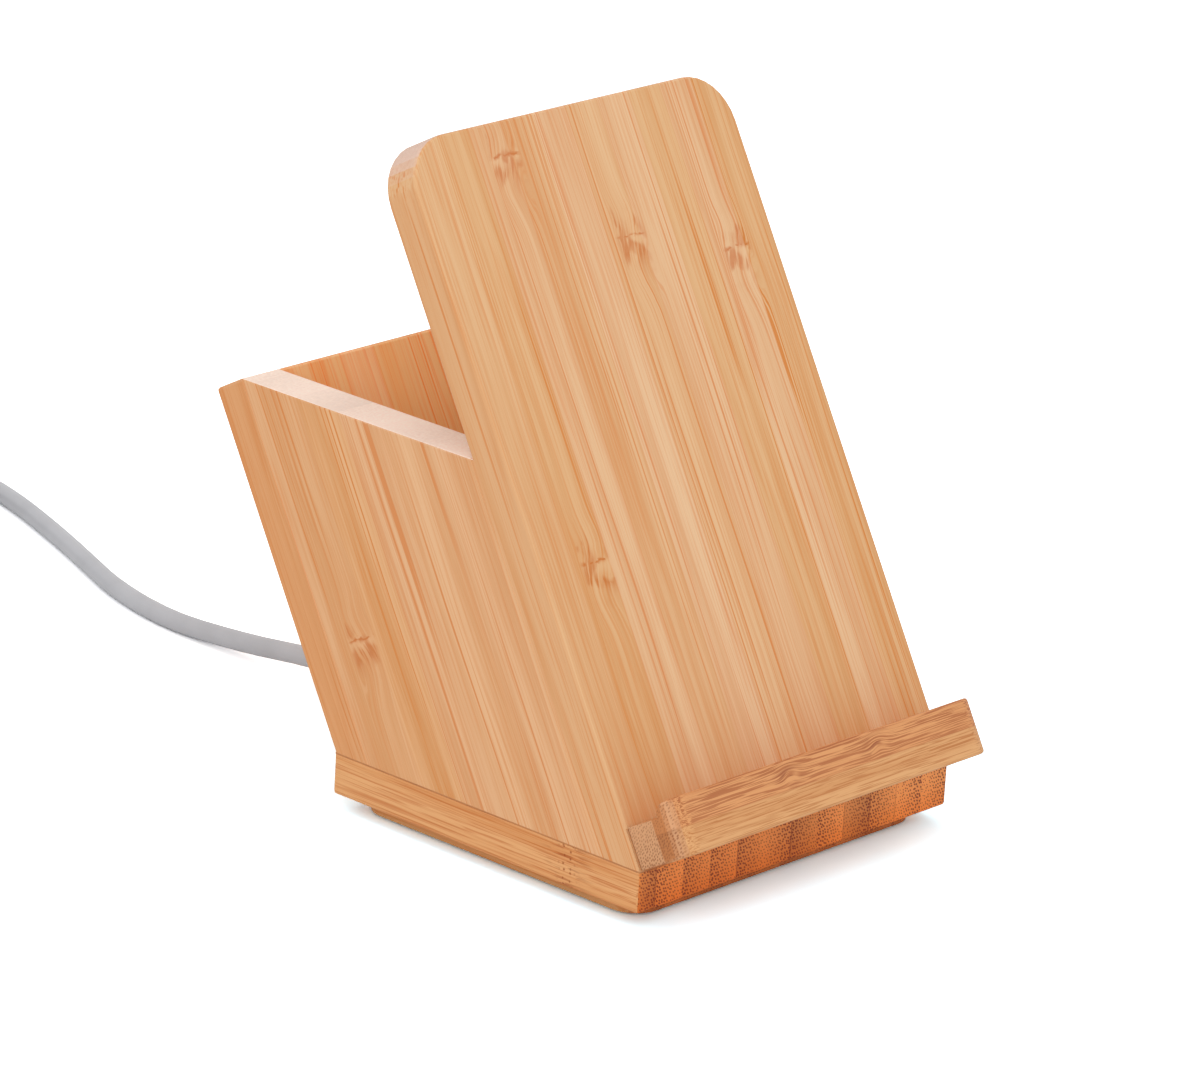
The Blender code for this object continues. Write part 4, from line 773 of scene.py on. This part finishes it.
enamel = metal_finish("enamelled_copper", (0.80, 0.46, 0.27), (0.70, 0.36, 0.20), 0.32)
wire_points = [*reversed(channel_end(-LEAD_SPREAD)), *spiral_path(), *channel_end(LEAD_SPREAD)]
wire_edges = [(k, k + 1) for k in range(len(wire_points) - 1)]
coil = grown_piece("charging_coil_wire", start_mesh(wire_points, wire_edges), stranded_wire_tree(), enamel,
                   {"Radius": WIRE_RADIUS, "Strands": 7, "Lay": 0.009, "Step": 0.0008})
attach(coil, "root")
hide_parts("charging_coil")


# Ferrite shield
# A slit ring of sintered ferrite, 0.8 mm thick, glued behind the coil. It keeps the charging field on the
# panel's front side.
ferrite = moulded_finish("sintered_ferrite", (0.23, 0.23, 0.24), (0.18, 0.18, 0.19), 0.6,
                         grain=5000.0, relief=0.2)
dress(ferrite, "ferrite_shield")


# Coil cover
# A thin board of the panel's bamboo, let into the panel's back flush and glued over the coil, the shield
# and the channel of the two wires.
cover_bamboo = bamboo_finish(
    "cover_bamboo", lambda tree: board_place(tree, (0, 1, 2), start=-0.0301), UP_SLOPE,
    knots=((0.0375, 0.0320, 0.0040),), strip=STRIP, seed=71.0, **PALE_END)
dress(cover_bamboo, "coil_cover")


# Side walls and rear wall
# Three boards of strips with their fibres up the slope, butted and dowelled behind the panel. The side
# walls are cut level at the top, which shows their pale end grain, and the rear wall is cut square.
WALL_LIGHT = srgb(0.928, 0.732, 0.545)
WALL_MIDDLE = srgb(0.872, 0.637, 0.430)
EDGE_COLOUR = srgb(0.87, 0.585, 0.355)
# Painted bounce light: brighter, more orange colours for the faces inside the box.
PAINTED_BOUNCE_LIGHT = srgb(1.00, 0.795, 0.560)
PAINTED_BOUNCE_MIDDLE = srgb(1.00, 0.730, 0.470)
PAINTED_BOUNCE_STREAK = srgb(1.00, 0.560, 0.280)
TOP_GRAIN = {"end": srgb(0.985, 0.895, 0.83), "end_dot": srgb(0.95, 0.825, 0.745), "dots": 0.5}


def warmed_with_painted_bounce(plain, inside):
    """Boards that turn more orange towards the box's rear edge, with painted bounce light inside the box.
    """
    def make(board):
        depth = split_xyz(board_place(board.tree, (1, 0, 2)))[0]
        edged = blend_colours(ramp(depth, 0.047, 0.060) * 0.6, plain, EDGE_COLOUR)
        painted_bounce_facing = facing(board.tree, (0.0, cos(LEAN), -sin(LEAN)))
        return blend_colours(ramp(painted_bounce_facing, 0.6, 0.9), edged, inside)
    return make


WALL_COLOURS = {"light": warmed_with_painted_bounce(WALL_LIGHT, PAINTED_BOUNCE_LIGHT), "middle": warmed_with_painted_bounce(WALL_MIDDLE, PAINTED_BOUNCE_MIDDLE)}
wall_bamboo = bamboo_finish(
    "wall_bamboo", lambda tree: board_place(tree, (1, 0, 2)), UP_SLOPE,
    knots=((0.0440, 0.0485, 0.0036),), strip=0.0082, seed=29.0, tone=0.035, **WALL_COLOURS, **TOP_GRAIN)
rear_bamboo = bamboo_finish(
    "rear_bamboo", lambda tree: board_place(tree, (0, 1, 2), start=-0.0375), UP_SLOPE,
    knots=((0.0190, 0.0560, 0.0040), (0.0490, 0.0700, 0.0040)), strip=STRIP, seed=47.0, tone=0.05,
    streak=warmed_with_painted_bounce(srgb(0.84, 0.52, 0.28), PAINTED_BOUNCE_STREAK), **WALL_COLOURS,
    end=srgb(0.90, 0.70, 0.54), end_dot=srgb(0.85, 0.61, 0.44), dots=0.5)
dress(wall_bamboo, "left_wall", "right_wall")
dress(rear_bamboo, "rear_wall")


# Rail
# A strip glued up from three, with its fibres across the stand, rounded at its two front corners and
# milled with a slot behind its lip. Two dowels and glue hold it on the panel's foot.
RAIL_REAR_STRIP = 0.0060
RAIL_JOINT_HEIGHT = 0.0047
RAIL_STRIP = 2 * RAIL_JOINT_HEIGHT


def rail_place(tree):
    """Numbers the rail's strips: 0 and 1 are the front ones, parted at their joint, 2 is the rear one."""
    x, y, z = split_xyz(board_place(tree, (2, 1, 0)))
    behind = y > -RAIL_REAR_STRIP
    height = x + (RAIL_STRIP - RAIL_JOINT_HEIGHT)
    return join_xyz(tree, behind * (RAIL_STRIP + RAIL_JOINT_HEIGHT) + height, y, z)


def upper_or_lower(upper, lower):
    """The upper front strip is browner and more streaked than the lower one."""
    def make(board):
        is_upper = split_xyz(board)[0] > RAIL_STRIP
        if isinstance(upper, tuple):
            return blend_colours(is_upper, lower, upper)
        return is_upper * (upper - lower) + lower
    return make


def rail_end(board):
    """Pale end grain on the rear strip, browner on the front ones, a painted highlight on the rounded
    corner.
    """
    behind = split_xyz(board)[1] > -RAIL_REAR_STRIP
    sawn = blend_colours(behind, srgb(0.735, 0.47, 0.275), srgb(0.83, 0.615, 0.44))
    # Painted highlight: paler where the rounded corner turns away from the end.
    painted_sheen = ramp(facing(board.tree, (1.0, 0.0, 0.0)), 0.96, 0.80)
    return blend_colours(painted_sheen, sawn, srgb(0.82, 0.60, 0.43))


rail_bamboo = bamboo_finish(
    "rail_bamboo", rail_place, (1.0, 0.0, 0.0), mark=eye,
    knots=((0.0116, -0.0083, 0.0019), (0.0116, 0.0132, 0.0019)), end_from=0.5, end_to=0.72,
    strip=RAIL_STRIP, seed=5.0, tone=0.04, streaks=upper_or_lower(0.95, 0.70), crests=0.0, joints=0.9,
    line_pitch=0.00024, line_run=0.0085, line_level=upper_or_lower(0.485, 0.520),
    light=upper_or_lower(srgb(0.885, 0.610, 0.365), srgb(0.900, 0.680, 0.460)),
    middle=upper_or_lower(srgb(0.820, 0.525, 0.285), srgb(0.850, 0.605, 0.385)),
    streak=upper_or_lower(srgb(0.670, 0.355, 0.150), srgb(0.735, 0.450, 0.230)),
    mark_tone=srgb(0.60, 0.30, 0.14), end=rail_end, end_dot=srgb(0.58, 0.34, 0.19),
    dot_pitch=0.00050, dots=0.75)
dress(rail_bamboo, "phone_rail")


# Glued joints of the body
# The thin films of wood glue between the boards. At the box's corners they take the boards' own colour,
# and under the body and behind the rail they show as a fine brown line.
GLUE = 0.0003
SET_BACK = 0.00003
WALL_INNER = 0.0290
WALL_OUTER = 0.0375
BOX_FRONT = 0.0070
BOX_REAR = 0.0518142
WALL_HEIGHT = 0.0656756
SLAB_DEPTH = 0.067
SHELF_HEIGHT = 0.0072
RAIL_FOOT = 0.0002
EASED = 0.0005


def add_block(bm, near, far):
    """A closed solid between two loops with the same number of points."""
    first = [bm.verts.new(point) for point in near]
    last = [bm.verts.new(point) for point in far]
    bm.faces.new(first)
    bm.faces.new(last)
    for i in range(len(first)):
        j = (i + 1) % len(first)
        bm.faces.new((first[i], first[j], last[j], last[i]))


def corner_films(bm):
    """Between the walls; the front ones also fill the groove along the panel's eased rear edges."""
    inner, outer, gap = WALL_INNER + SET_BACK, WALL_OUTER - SET_BACK, SET_BACK
    round_point = EASED * (1 - cos(pi / 4))
    front = [(inner, BOX_FRONT), (outer - EASED, BOX_FRONT + gap),
             (outer - round_point + gap, BOX_FRONT - round_point + gap), (outer, BOX_FRONT - EASED + gap),
             (outer, BOX_FRONT + GLUE), (inner, BOX_FRONT + GLUE)]
    rear = [(inner, BOX_REAR - GLUE), (outer, BOX_REAR - GLUE), (outer, BOX_REAR), (inner, BOX_REAR)]
    for side in (-1, 1):
        for loop in (front, rear):
            low, high = [[on_slope(side * x, depth, depth * level_rise + height) for x, depth in loop]
                         for height in (gap, WALL_HEIGHT - gap)]
            add_block(bm, low, high)


def foot_film(bm):
    """Between the leaning boards and the slab, in four bars round the box."""
    low, high = FOOT_OF_SLOPE[2] - GLUE, FOOT_OF_SLOPE[2]
    outer = WALL_OUTER - 3 * SET_BACK
    front, rear = FOOT_OF_SLOPE[1] + 3 * SET_BACK, FOOT_OF_SLOPE[1] + SLAB_DEPTH - 3 * SET_BACK
    inner_front = FOOT_OF_SLOPE[1] + BOX_FRONT / cos(LEAN)
    inner_rear = FOOT_OF_SLOPE[1] + BOX_REAR / cos(LEAN)
    bars = ((-outer, front, outer, inner_front), (-outer, inner_rear, outer, rear),
            (-outer, inner_front, -WALL_INNER, inner_rear), (WALL_INNER, inner_front, outer, inner_rear))
    for low_x, low_y, high_x, high_y in bars:
        loop = [(low_x, low_y), (high_x, low_y), (high_x, high_y), (low_x, high_y)]
        add_block(bm, [(x, y, low) for x, y in loop], [(x, y, high) for x, y in loop])


def rail_film(bm):
    """Between the rail and the panel, up to the rail's shelf."""
    outer = WALL_OUTER - 5 * SET_BACK
    top = SHELF_HEIGHT - 6 * SET_BACK
    loop = [(-GLUE, RAIL_FOOT), (0.0, RAIL_FOOT), (0.0, top), (-GLUE, top)]
    add_block(bm, [on_slope(-outer, *point) for point in loop], [on_slope(outer, *point) for point in loop])


glue, glue_tree, glue_shader = new_finish("wood_glue", {"Roughness": 0.5})
glue_cloud = noise(add(glue_tree, "TexCoord")["Object"], 260.0, 3.0)
fill(glue_tree, glue_shader, {
    "Base Color": blend_colours(glue_cloud, srgb(0.83, 0.59, 0.37), srgb(0.70, 0.44, 0.25))})
for name, maker, material in (("corner_glue_films", corner_films, wall_bamboo),
                              ("foot_glue_film", foot_film, glue), ("rail_glue_film", rail_film, glue)):
    film = closed_piece(name, maker, material)
    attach(film, "root")


# Base slab
# The square board under everything, glued up from twelve upright strips of 6.5 mm with their fibres from
# front to back, so that its front edge is dark end grain. Its underside is milled for the electronics.
SIDE_JOINT_REACH = 0.0079
SLAB_START = -0.03998


def side_joint(board):
    """A bamboo joint in the outermost strip: a column of small dots, with short streaks about it."""
    x, y, z = split_xyz(board)
    flat = join_xyz(board.tree, y, z)
    column = hump(z, -0.0288, 0.0016) * ramp(point_distance(flat, 860.0, 1.0), 0.28, 0.08)
    streaks = ramp(drawn_noise(flat, (2300.0, 230.0, 0.0), 1.0), 0.52, 0.62)
    about = hump(z, -0.0292, 0.0045) * 0.50
    return column.larger(about * streaks) * (x < SIDE_JOINT_REACH)


def slab_end_with_painted_light(board):
    """End grain with painted shade, deeper and more orange low down, and painted light to the right."""
    across, height = split_xyz(board)[:2]
    # Painted shade towards the lower edge and painted light towards the right.
    low = ramp(height, 0.0095, 0.0030)
    left = blend_colours(low, srgb(0.93, 0.560, 0.280), srgb(0.88, 0.46, 0.17))
    right = blend_colours(low, srgb(1.00, 0.660, 0.37), srgb(0.96, 0.545, 0.23))
    return blend_colours(ramp(across, 0.020, 0.077), left, right)


slab_bamboo = bamboo_finish(
    "slab_bamboo", lambda tree: board_place(tree, (0, 2, 1), leaning=False, start=SLAB_START),
    (0.0, 1.0, 0.0), dark=side_joint, strip=0.00645, seed=83.0, tone=0.105,
    line_pitch=0.00040, line_run=0.018, line_level=0.54, crests=0.4, streaks=0.85,
    light=srgb(0.935, 0.71, 0.49), middle=srgb(0.855, 0.565, 0.325), streak=srgb(0.77, 0.42, 0.19),
    mark_tone=srgb(0.60, 0.26, 0.10), end=slab_end_with_painted_light, end_dot=srgb(0.495, 0.160, 0.020), dots=1.0)
dress(slab_bamboo, "base_slab")


# Circuit board in the slab
# A green glass-fibre board with the controller, two bridge drivers, an inductor, four tuning capacitors
# and two terminals for the coil, held by two pan-head screws in the slab's milled underside.
laminate = moulded_finish("green_laminate", (0.10, 0.38, 0.22), (0.07, 0.30, 0.17), 0.4,
                          grain=6000.0, relief=0.15)
chip_black = moulded_finish("chip_black", (0.13, 0.13, 0.14), (0.10, 0.10, 0.11), 0.55,
                            grain=6000.0, relief=0.2)
tan_ceramic = moulded_finish("tan_ceramic", (0.72, 0.60, 0.45), (0.64, 0.52, 0.38), 0.5,
                             grain=5000.0, relief=0.1)
tinned = metal_finish("tinned_terminal", (0.82, 0.82, 0.80), (0.74, 0.74, 0.72), 0.35)


def numbered(name, count):
    return ["%s_%d" % (name, number) for number in range(1, count + 1)]


dress(laminate, "circuit_board")
dress(chip_black, "control_chip", *numbered("driver_chip", 2))
dress(ferrite, "power_inductor")
dress(tan_ceramic, *numbered("resonant_capacitor", 4))
dress(tinned, "coil_terminal_1", "coil_terminal_2")


# USB-C socket
# A drawn steel shell with a black core and tongue, soldered to the board and set 0.5 mm behind the
# slab's rear edge, in a slot that is milled through to the cavity.
dress(plated, "usb_socket_shell")
dress(chip_black, "usb_socket_core")


# Foot plate
# A thinner and smaller board of the same bamboo under the slab. It closes the electronics in, makes the
# shadow line under the slab, and has round recesses for the pads.
foot_bamboo = bamboo_finish(
    "foot_bamboo", lambda tree: board_place(tree, (0, 2, 1), leaning=False, start=-0.0345),
    (0.0, 1.0, 0.0), strip=0.0069, seed=101.0, line_pitch=0.0006, line_run=0.03,
    light=srgb(0.90, 0.69, 0.48), middle=srgb(0.86, 0.60, 0.38))
dress(foot_bamboo, "foot_plate")


# Screws of the foot plate and of the circuit board
# Steel screws with a rolled thread and a pressed cross recess: four countersunk ones driven up through the
# foot plate into the slab, and two smaller ones with pan heads that hold the circuit board.
HELIX_STEPS = 20
CREST_SHARE = 0.28


def driven_screw_tree():
    """Cuts a cross recess in the turned screw of the start mesh, winds its thread and sets out copies."""
    sizes = ("Shank Radius", "Thread Start", "Thread Length", "Thread Pitch", "Recess Width", "Slot Width",
             "Recess Depth", "Spread X", "Spread Y")
    tree, given = new_nodes("driven_screws", sizes, ("Rows",), ("Centre",))
    wings = []
    for x, y, share in (("Recess Width", "Slot Width", 2.0), ("Slot Width", "Recess Width", 1.9)):
        size = join_xyz(tree, given[x], given[y], given["Recess Depth"] * share)
        wings.append(geo(tree, "MeshCube", {"Size": size}))
    bodies = {"Mesh 1": given["Geometry"], "Mesh 2": wings, "Self Intersection": True}
    turned = geo(tree, "MeshBoolean", bodies, operation="DIFFERENCE", solver="EXACT")
    radius, length, pitch = given["Shank Radius"], given["Thread Length"], given["Thread Pitch"]
    helix = geo(tree, "CurveSpiral", {"Resolution": HELIX_STEPS, "Rotations": length / pitch,
                                      "Start Radius": radius, "End Radius": radius, "Height": length})
    start = join_xyz(tree, z=given["Thread Start"])
    helix = geo(tree, "Transform", {"Geometry": helix, "Translation": start})
    crest = geo(tree, "CurvePrimitiveCircle", {"Resolution": 3, "Radius": pitch * CREST_SHARE})
    screw = geo(tree, "JoinGeometry", {"Geometry": [sweep(tree, helix, crest), turned]})
    spots = geo(tree, "MeshGrid", {"Size X": given["Spread X"], "Size Y": given["Spread Y"],
                                   "Vertices X": 2, "Vertices Y": given["Rows"]})
    spots = geo(tree, "Transform", {"Geometry": spots, "Translation": given["Centre"]})
    screws = geo(tree, "InstanceOnPoints", {"Points": spots, "Instance": screw})
    return lay_out(tree, screws, given["Finish"])


def turned_screw(profile, sides=32):
    """A closed turned body from a profile of (radius, height) that starts and ends on the axis."""
    bm = bmesh.new()
    ways = [(cos(2 * pi * k / sides), sin(2 * pi * k / sides)) for k in range(sides)]
    rings = [[bm.verts.new((radius * x, radius * y, z)) for x, y in ways] for radius, z in profile[1:-1]]
    low, high = bm.verts.new((0, 0, profile[0][1])), bm.verts.new((0, 0, profile[-1][1]))
    for k in range(sides):
        j = (k + 1) % sides
        bm.faces.new((low, rings[0][j], rings[0][k]))
        bm.faces.new((high, rings[-1][k], rings[-1][j]))
        for under, over in zip(rings, rings[1:]):
            bm.faces.new((under[k], under[j], over[j], over[k]))
    bmesh.ops.recalc_face_normals(bm, faces=bm.faces)
    mesh = bpy.data.meshes.new("turned_screw")
    bm.to_mesh(mesh)
    bm.free()
    return mesh


def spread_of(nodes, z):
    """The centre of a group of nodes at the height z, and their spread in X and Y."""
    corners = [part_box(node) for node in nodes]
    centres = [(low + high) / 2 for low, high in corners]
    xs, ys = [centre.x for centre in centres], [centre.y for centre in centres]
    middle = ((min(xs) + max(xs)) / 2, (min(ys) + max(ys)) / 2, z)
    return {"Spread X": max(xs) - min(xs), "Spread Y": max(ys) - min(ys), "Centre": middle}


FOOT_SCREW = ((0, 0), (0.0026, 0), (0.0026, 0.0003), (0.0013, 0.0013), (0.0013, 0.0053), (0, 0.0066))
BOARD_SCREW = ((0, 0), (0.0014, 0), (0.0016, 0.0002), (0.0016, 0.0007), (0.0009, 0.0007), (0.0009, 0.0043),
               (0, 0.0052))
screw_tree = driven_screw_tree()
for name, profile, nodes, sizes in (
        ("foot_plate_screws", FOOT_SCREW, numbered("foot_plate_screw", 4),
         {"Shank Radius": 0.00112, "Thread Start": 0.0018, "Thread Length": 0.0034, "Thread Pitch": 0.0007,
          "Recess Width": 0.0025, "Slot Width": 0.0006, "Recess Depth": 0.0009, "Rows": 2}),
        ("board_screws", BOARD_SCREW, numbered("board_screw", 2),
         {"Shank Radius": 0.00077, "Thread Start": 0.0012, "Thread Length": 0.0030, "Thread Pitch": 0.0005,
          "Recess Width": 0.0015, "Slot Width": 0.0004, "Recess Depth": 0.0005, "Rows": 1})):
    low = min(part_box(node)[0].z for node in nodes)
    placed = {**sizes, **spread_of(nodes, low)}
    screws = grown_piece(name, turned_screw(profile), screw_tree, plated, placed)
    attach(screws, "root")
    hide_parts(*nodes)


# Anti-slip pads
# Four discs of matt black silicone, pressed and glued into the foot plate's recesses. They stand 0.4 mm
# proud and touch the desk.
silicone = moulded_finish("black_silicone", (0.16, 0.16, 0.165), (0.12, 0.12, 0.125), 0.75,
                          grain=4000.0, relief=0.3)
dress(silicone, *numbered("anti_slip_pad", 4))


# Dowels
# Turned beech dowels with pressed flutes and chamfered ends, glued into blind holes: four upright ones from
# the slab into the side walls, eight level ones through the corners of the box, two thinner in the rail.
def fluted_dowel_tree():
    """A fluted dowel with chamfered ends, centred on each vertex of the start mesh and turned as given."""
    tree, given = new_nodes("fluted_dowels", ("Radius", "Length", "Chamfer", "Flute Depth"), ("Flutes",),
                            ("Turn",))
    radius, length, chamfer = given["Radius"], given["Length"], given["Chamfer"]
    number = geo(tree, "InputIndex")
    past = [number > k + 0.5 for k in range(3)]
    span = maths(tree, "MULTIPLY_ADD", chamfer, -2.0, length)
    along = maths(tree, "MULTIPLY_ADD", past[1], span, past[2] * chamfer)
    along = maths(tree, "MULTIPLY_ADD", past[0], chamfer, along)
    along = maths(tree, "MULTIPLY_ADD", length, -0.5, along)
    axis = geo(tree, "ResampleCurve", {"Curve": geo(tree, "CurvePrimitiveLine"), "Count": 4}, mode="COUNT")
    axis = geo(tree, "SetPosition", {"Geometry": axis, "Position": join_xyz(tree, z=along)})
    at_end = 1.0 - past[0] * (1.0 - past[2])
    width = 1.0 - at_end * (chamfer / radius)
    groove = lobe_wave(number) > 0.5
    ring = lobed_ring(tree, given["Flutes"], radius, 1.0 - groove * (given["Flute Depth"] / radius))
    dowel = sweep(tree, axis, ring, width)
    set_out = {"Points": given["Geometry"], "Instance": dowel, "Rotation": given["Turn"]}
    return lay_out(tree, geo(tree, "InstanceOnPoints", set_out), given["Finish"])


beech, beech_tree, beech_shader = new_finish("turned_beech", {"Roughness": 0.6})
beech_fleck = ramp(noise(add(beech_tree, "TexCoord")["Object"], 1500.0, 4.0), 0.35, 0.7)
fill(beech_tree, beech_shader, {
    "Base Color": blend_colours(beech_fleck, srgb(0.86, 0.71, 0.53), srgb(0.74, 0.56, 0.39))})
dowel_tree = fluted_dowel_tree()
through_slope = (pi / 2 - LEAN, 0.0, 0.0)
for name, count, radius, length, turn in (("base_dowel", 4, 0.0020, 0.0090, (0.0, 0.0, 0.0)),
                                          ("wall_dowel", 8, 0.0020, 0.0090, through_slope),
                                          ("rail_dowel", 2, 0.0015, 0.0080, through_slope)):
    nodes = numbered(name, count)
    centres = [sum(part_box(node), Vector()) / 2 for node in nodes]
    sizes = {"Radius": radius, "Length": length, "Chamfer": 0.0004, "Flutes": 12, "Flute Depth": 0.00012}
    dowels = grown_piece(name + "s", start_mesh(centres), dowel_tree, beech, {**sizes, "Turn": turn})
    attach(dowels, "root")
    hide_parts(*nodes)


# Floor and lamps
# A pale floor that is white to the camera but for the shadow, and cooler beside the stand, against the
# warm light from the boards. A large soft lamp on the camera's side, a weaker one above, a white room.
WHITE = (1.0, 1.0, 1.0, 1.0)
SHADOW_MIDDLE = (0.0, -0.030, 0.0)
SHADOW_EDGE = (0.105, 0.070)
FLOOR_REACH = 4.0
LAMP_AIM = Vector((0.0, 0.0, 0.05))
ROOM_GLOW = 0.76
floor_paint, floor_tree, floor_shader = new_finish("floor_paint")
floor_tree.nodes.remove(floor_shader)
seen = add(floor_tree, "LightPath")
mirrored = seen["Is Glossy Ray"].larger(seen["Is Transmission Ray"])
matt = add(floor_tree, "BsdfDiffuse", {"Color": srgb(0.92, 0.925, 0.93)})
white = add(floor_tree, "BsdfDiffuse", {"Color": WHITE})
away = add(floor_tree, "VectorMath", {0: add(floor_tree, "TexCoord")["Object"], 1: SHADOW_MIDDLE},
           operation="DISTANCE")["Value"]
pale = add(floor_tree, "BsdfDiffuse", {"Color": blend_colours(
    ramp(away, *SHADOW_EDGE), srgb(0.820, 0.822, 0.826), srgb(0.745, 0.842, 0.886))})
doubled = add(floor_tree, "AddShader", {0: pale, 1: pale})
lit = add(floor_tree, "AddShader", {0: doubled, 1: pale})
plain = add(floor_tree, "MixShader", {0: mirrored, 1: matt, 2: white})
chosen = add(floor_tree, "MixShader", {0: seen["Is Camera Ray"], 1: plain, 2: lit})
fill(floor_tree, floor_tree.nodes["Material Output"], {"Surface": chosen})


def floor_sheet(bm):
    bmesh.ops.create_grid(bm, x_segments=1, y_segments=1, size=FLOOR_REACH)


floor = closed_piece("floor", floor_sheet, floor_paint)

room = bpy.data.worlds.new("room")
room.use_nodes = True
bpy.context.scene.world = room
room_tree = room.node_tree
room_seen = add(room_tree, "LightPath")
room_direct = room_seen["Is Camera Ray"].larger(
    room_seen["Is Glossy Ray"].larger(room_seen["Is Transmission Ray"]))
room_strength = room_direct * (1 - ROOM_GLOW) + ROOM_GLOW
fill(room_tree, room_tree.nodes["Background"], {"Color": WHITE, "Strength": room_strength})


def soft_lamp(name, place, size, watts):
    light = bpy.data.lights.new(name, "AREA")
    light.size = size
    light.energy = watts
    lamp = new_object(name, light)
    lamp.location = place
    lamp.rotation_euler = (LAMP_AIM - Vector(place)).to_track_quat("-Z", "Y").to_euler()


soft_lamp("key_lamp", (-0.96, -0.55, 0.70), size=0.8, watts=2.9)
soft_lamp("top_lamp", (-0.05, -0.20, 1.3), size=0.9, watts=2.6)

bpy.context.scene.view_settings.view_transform = "Standard"
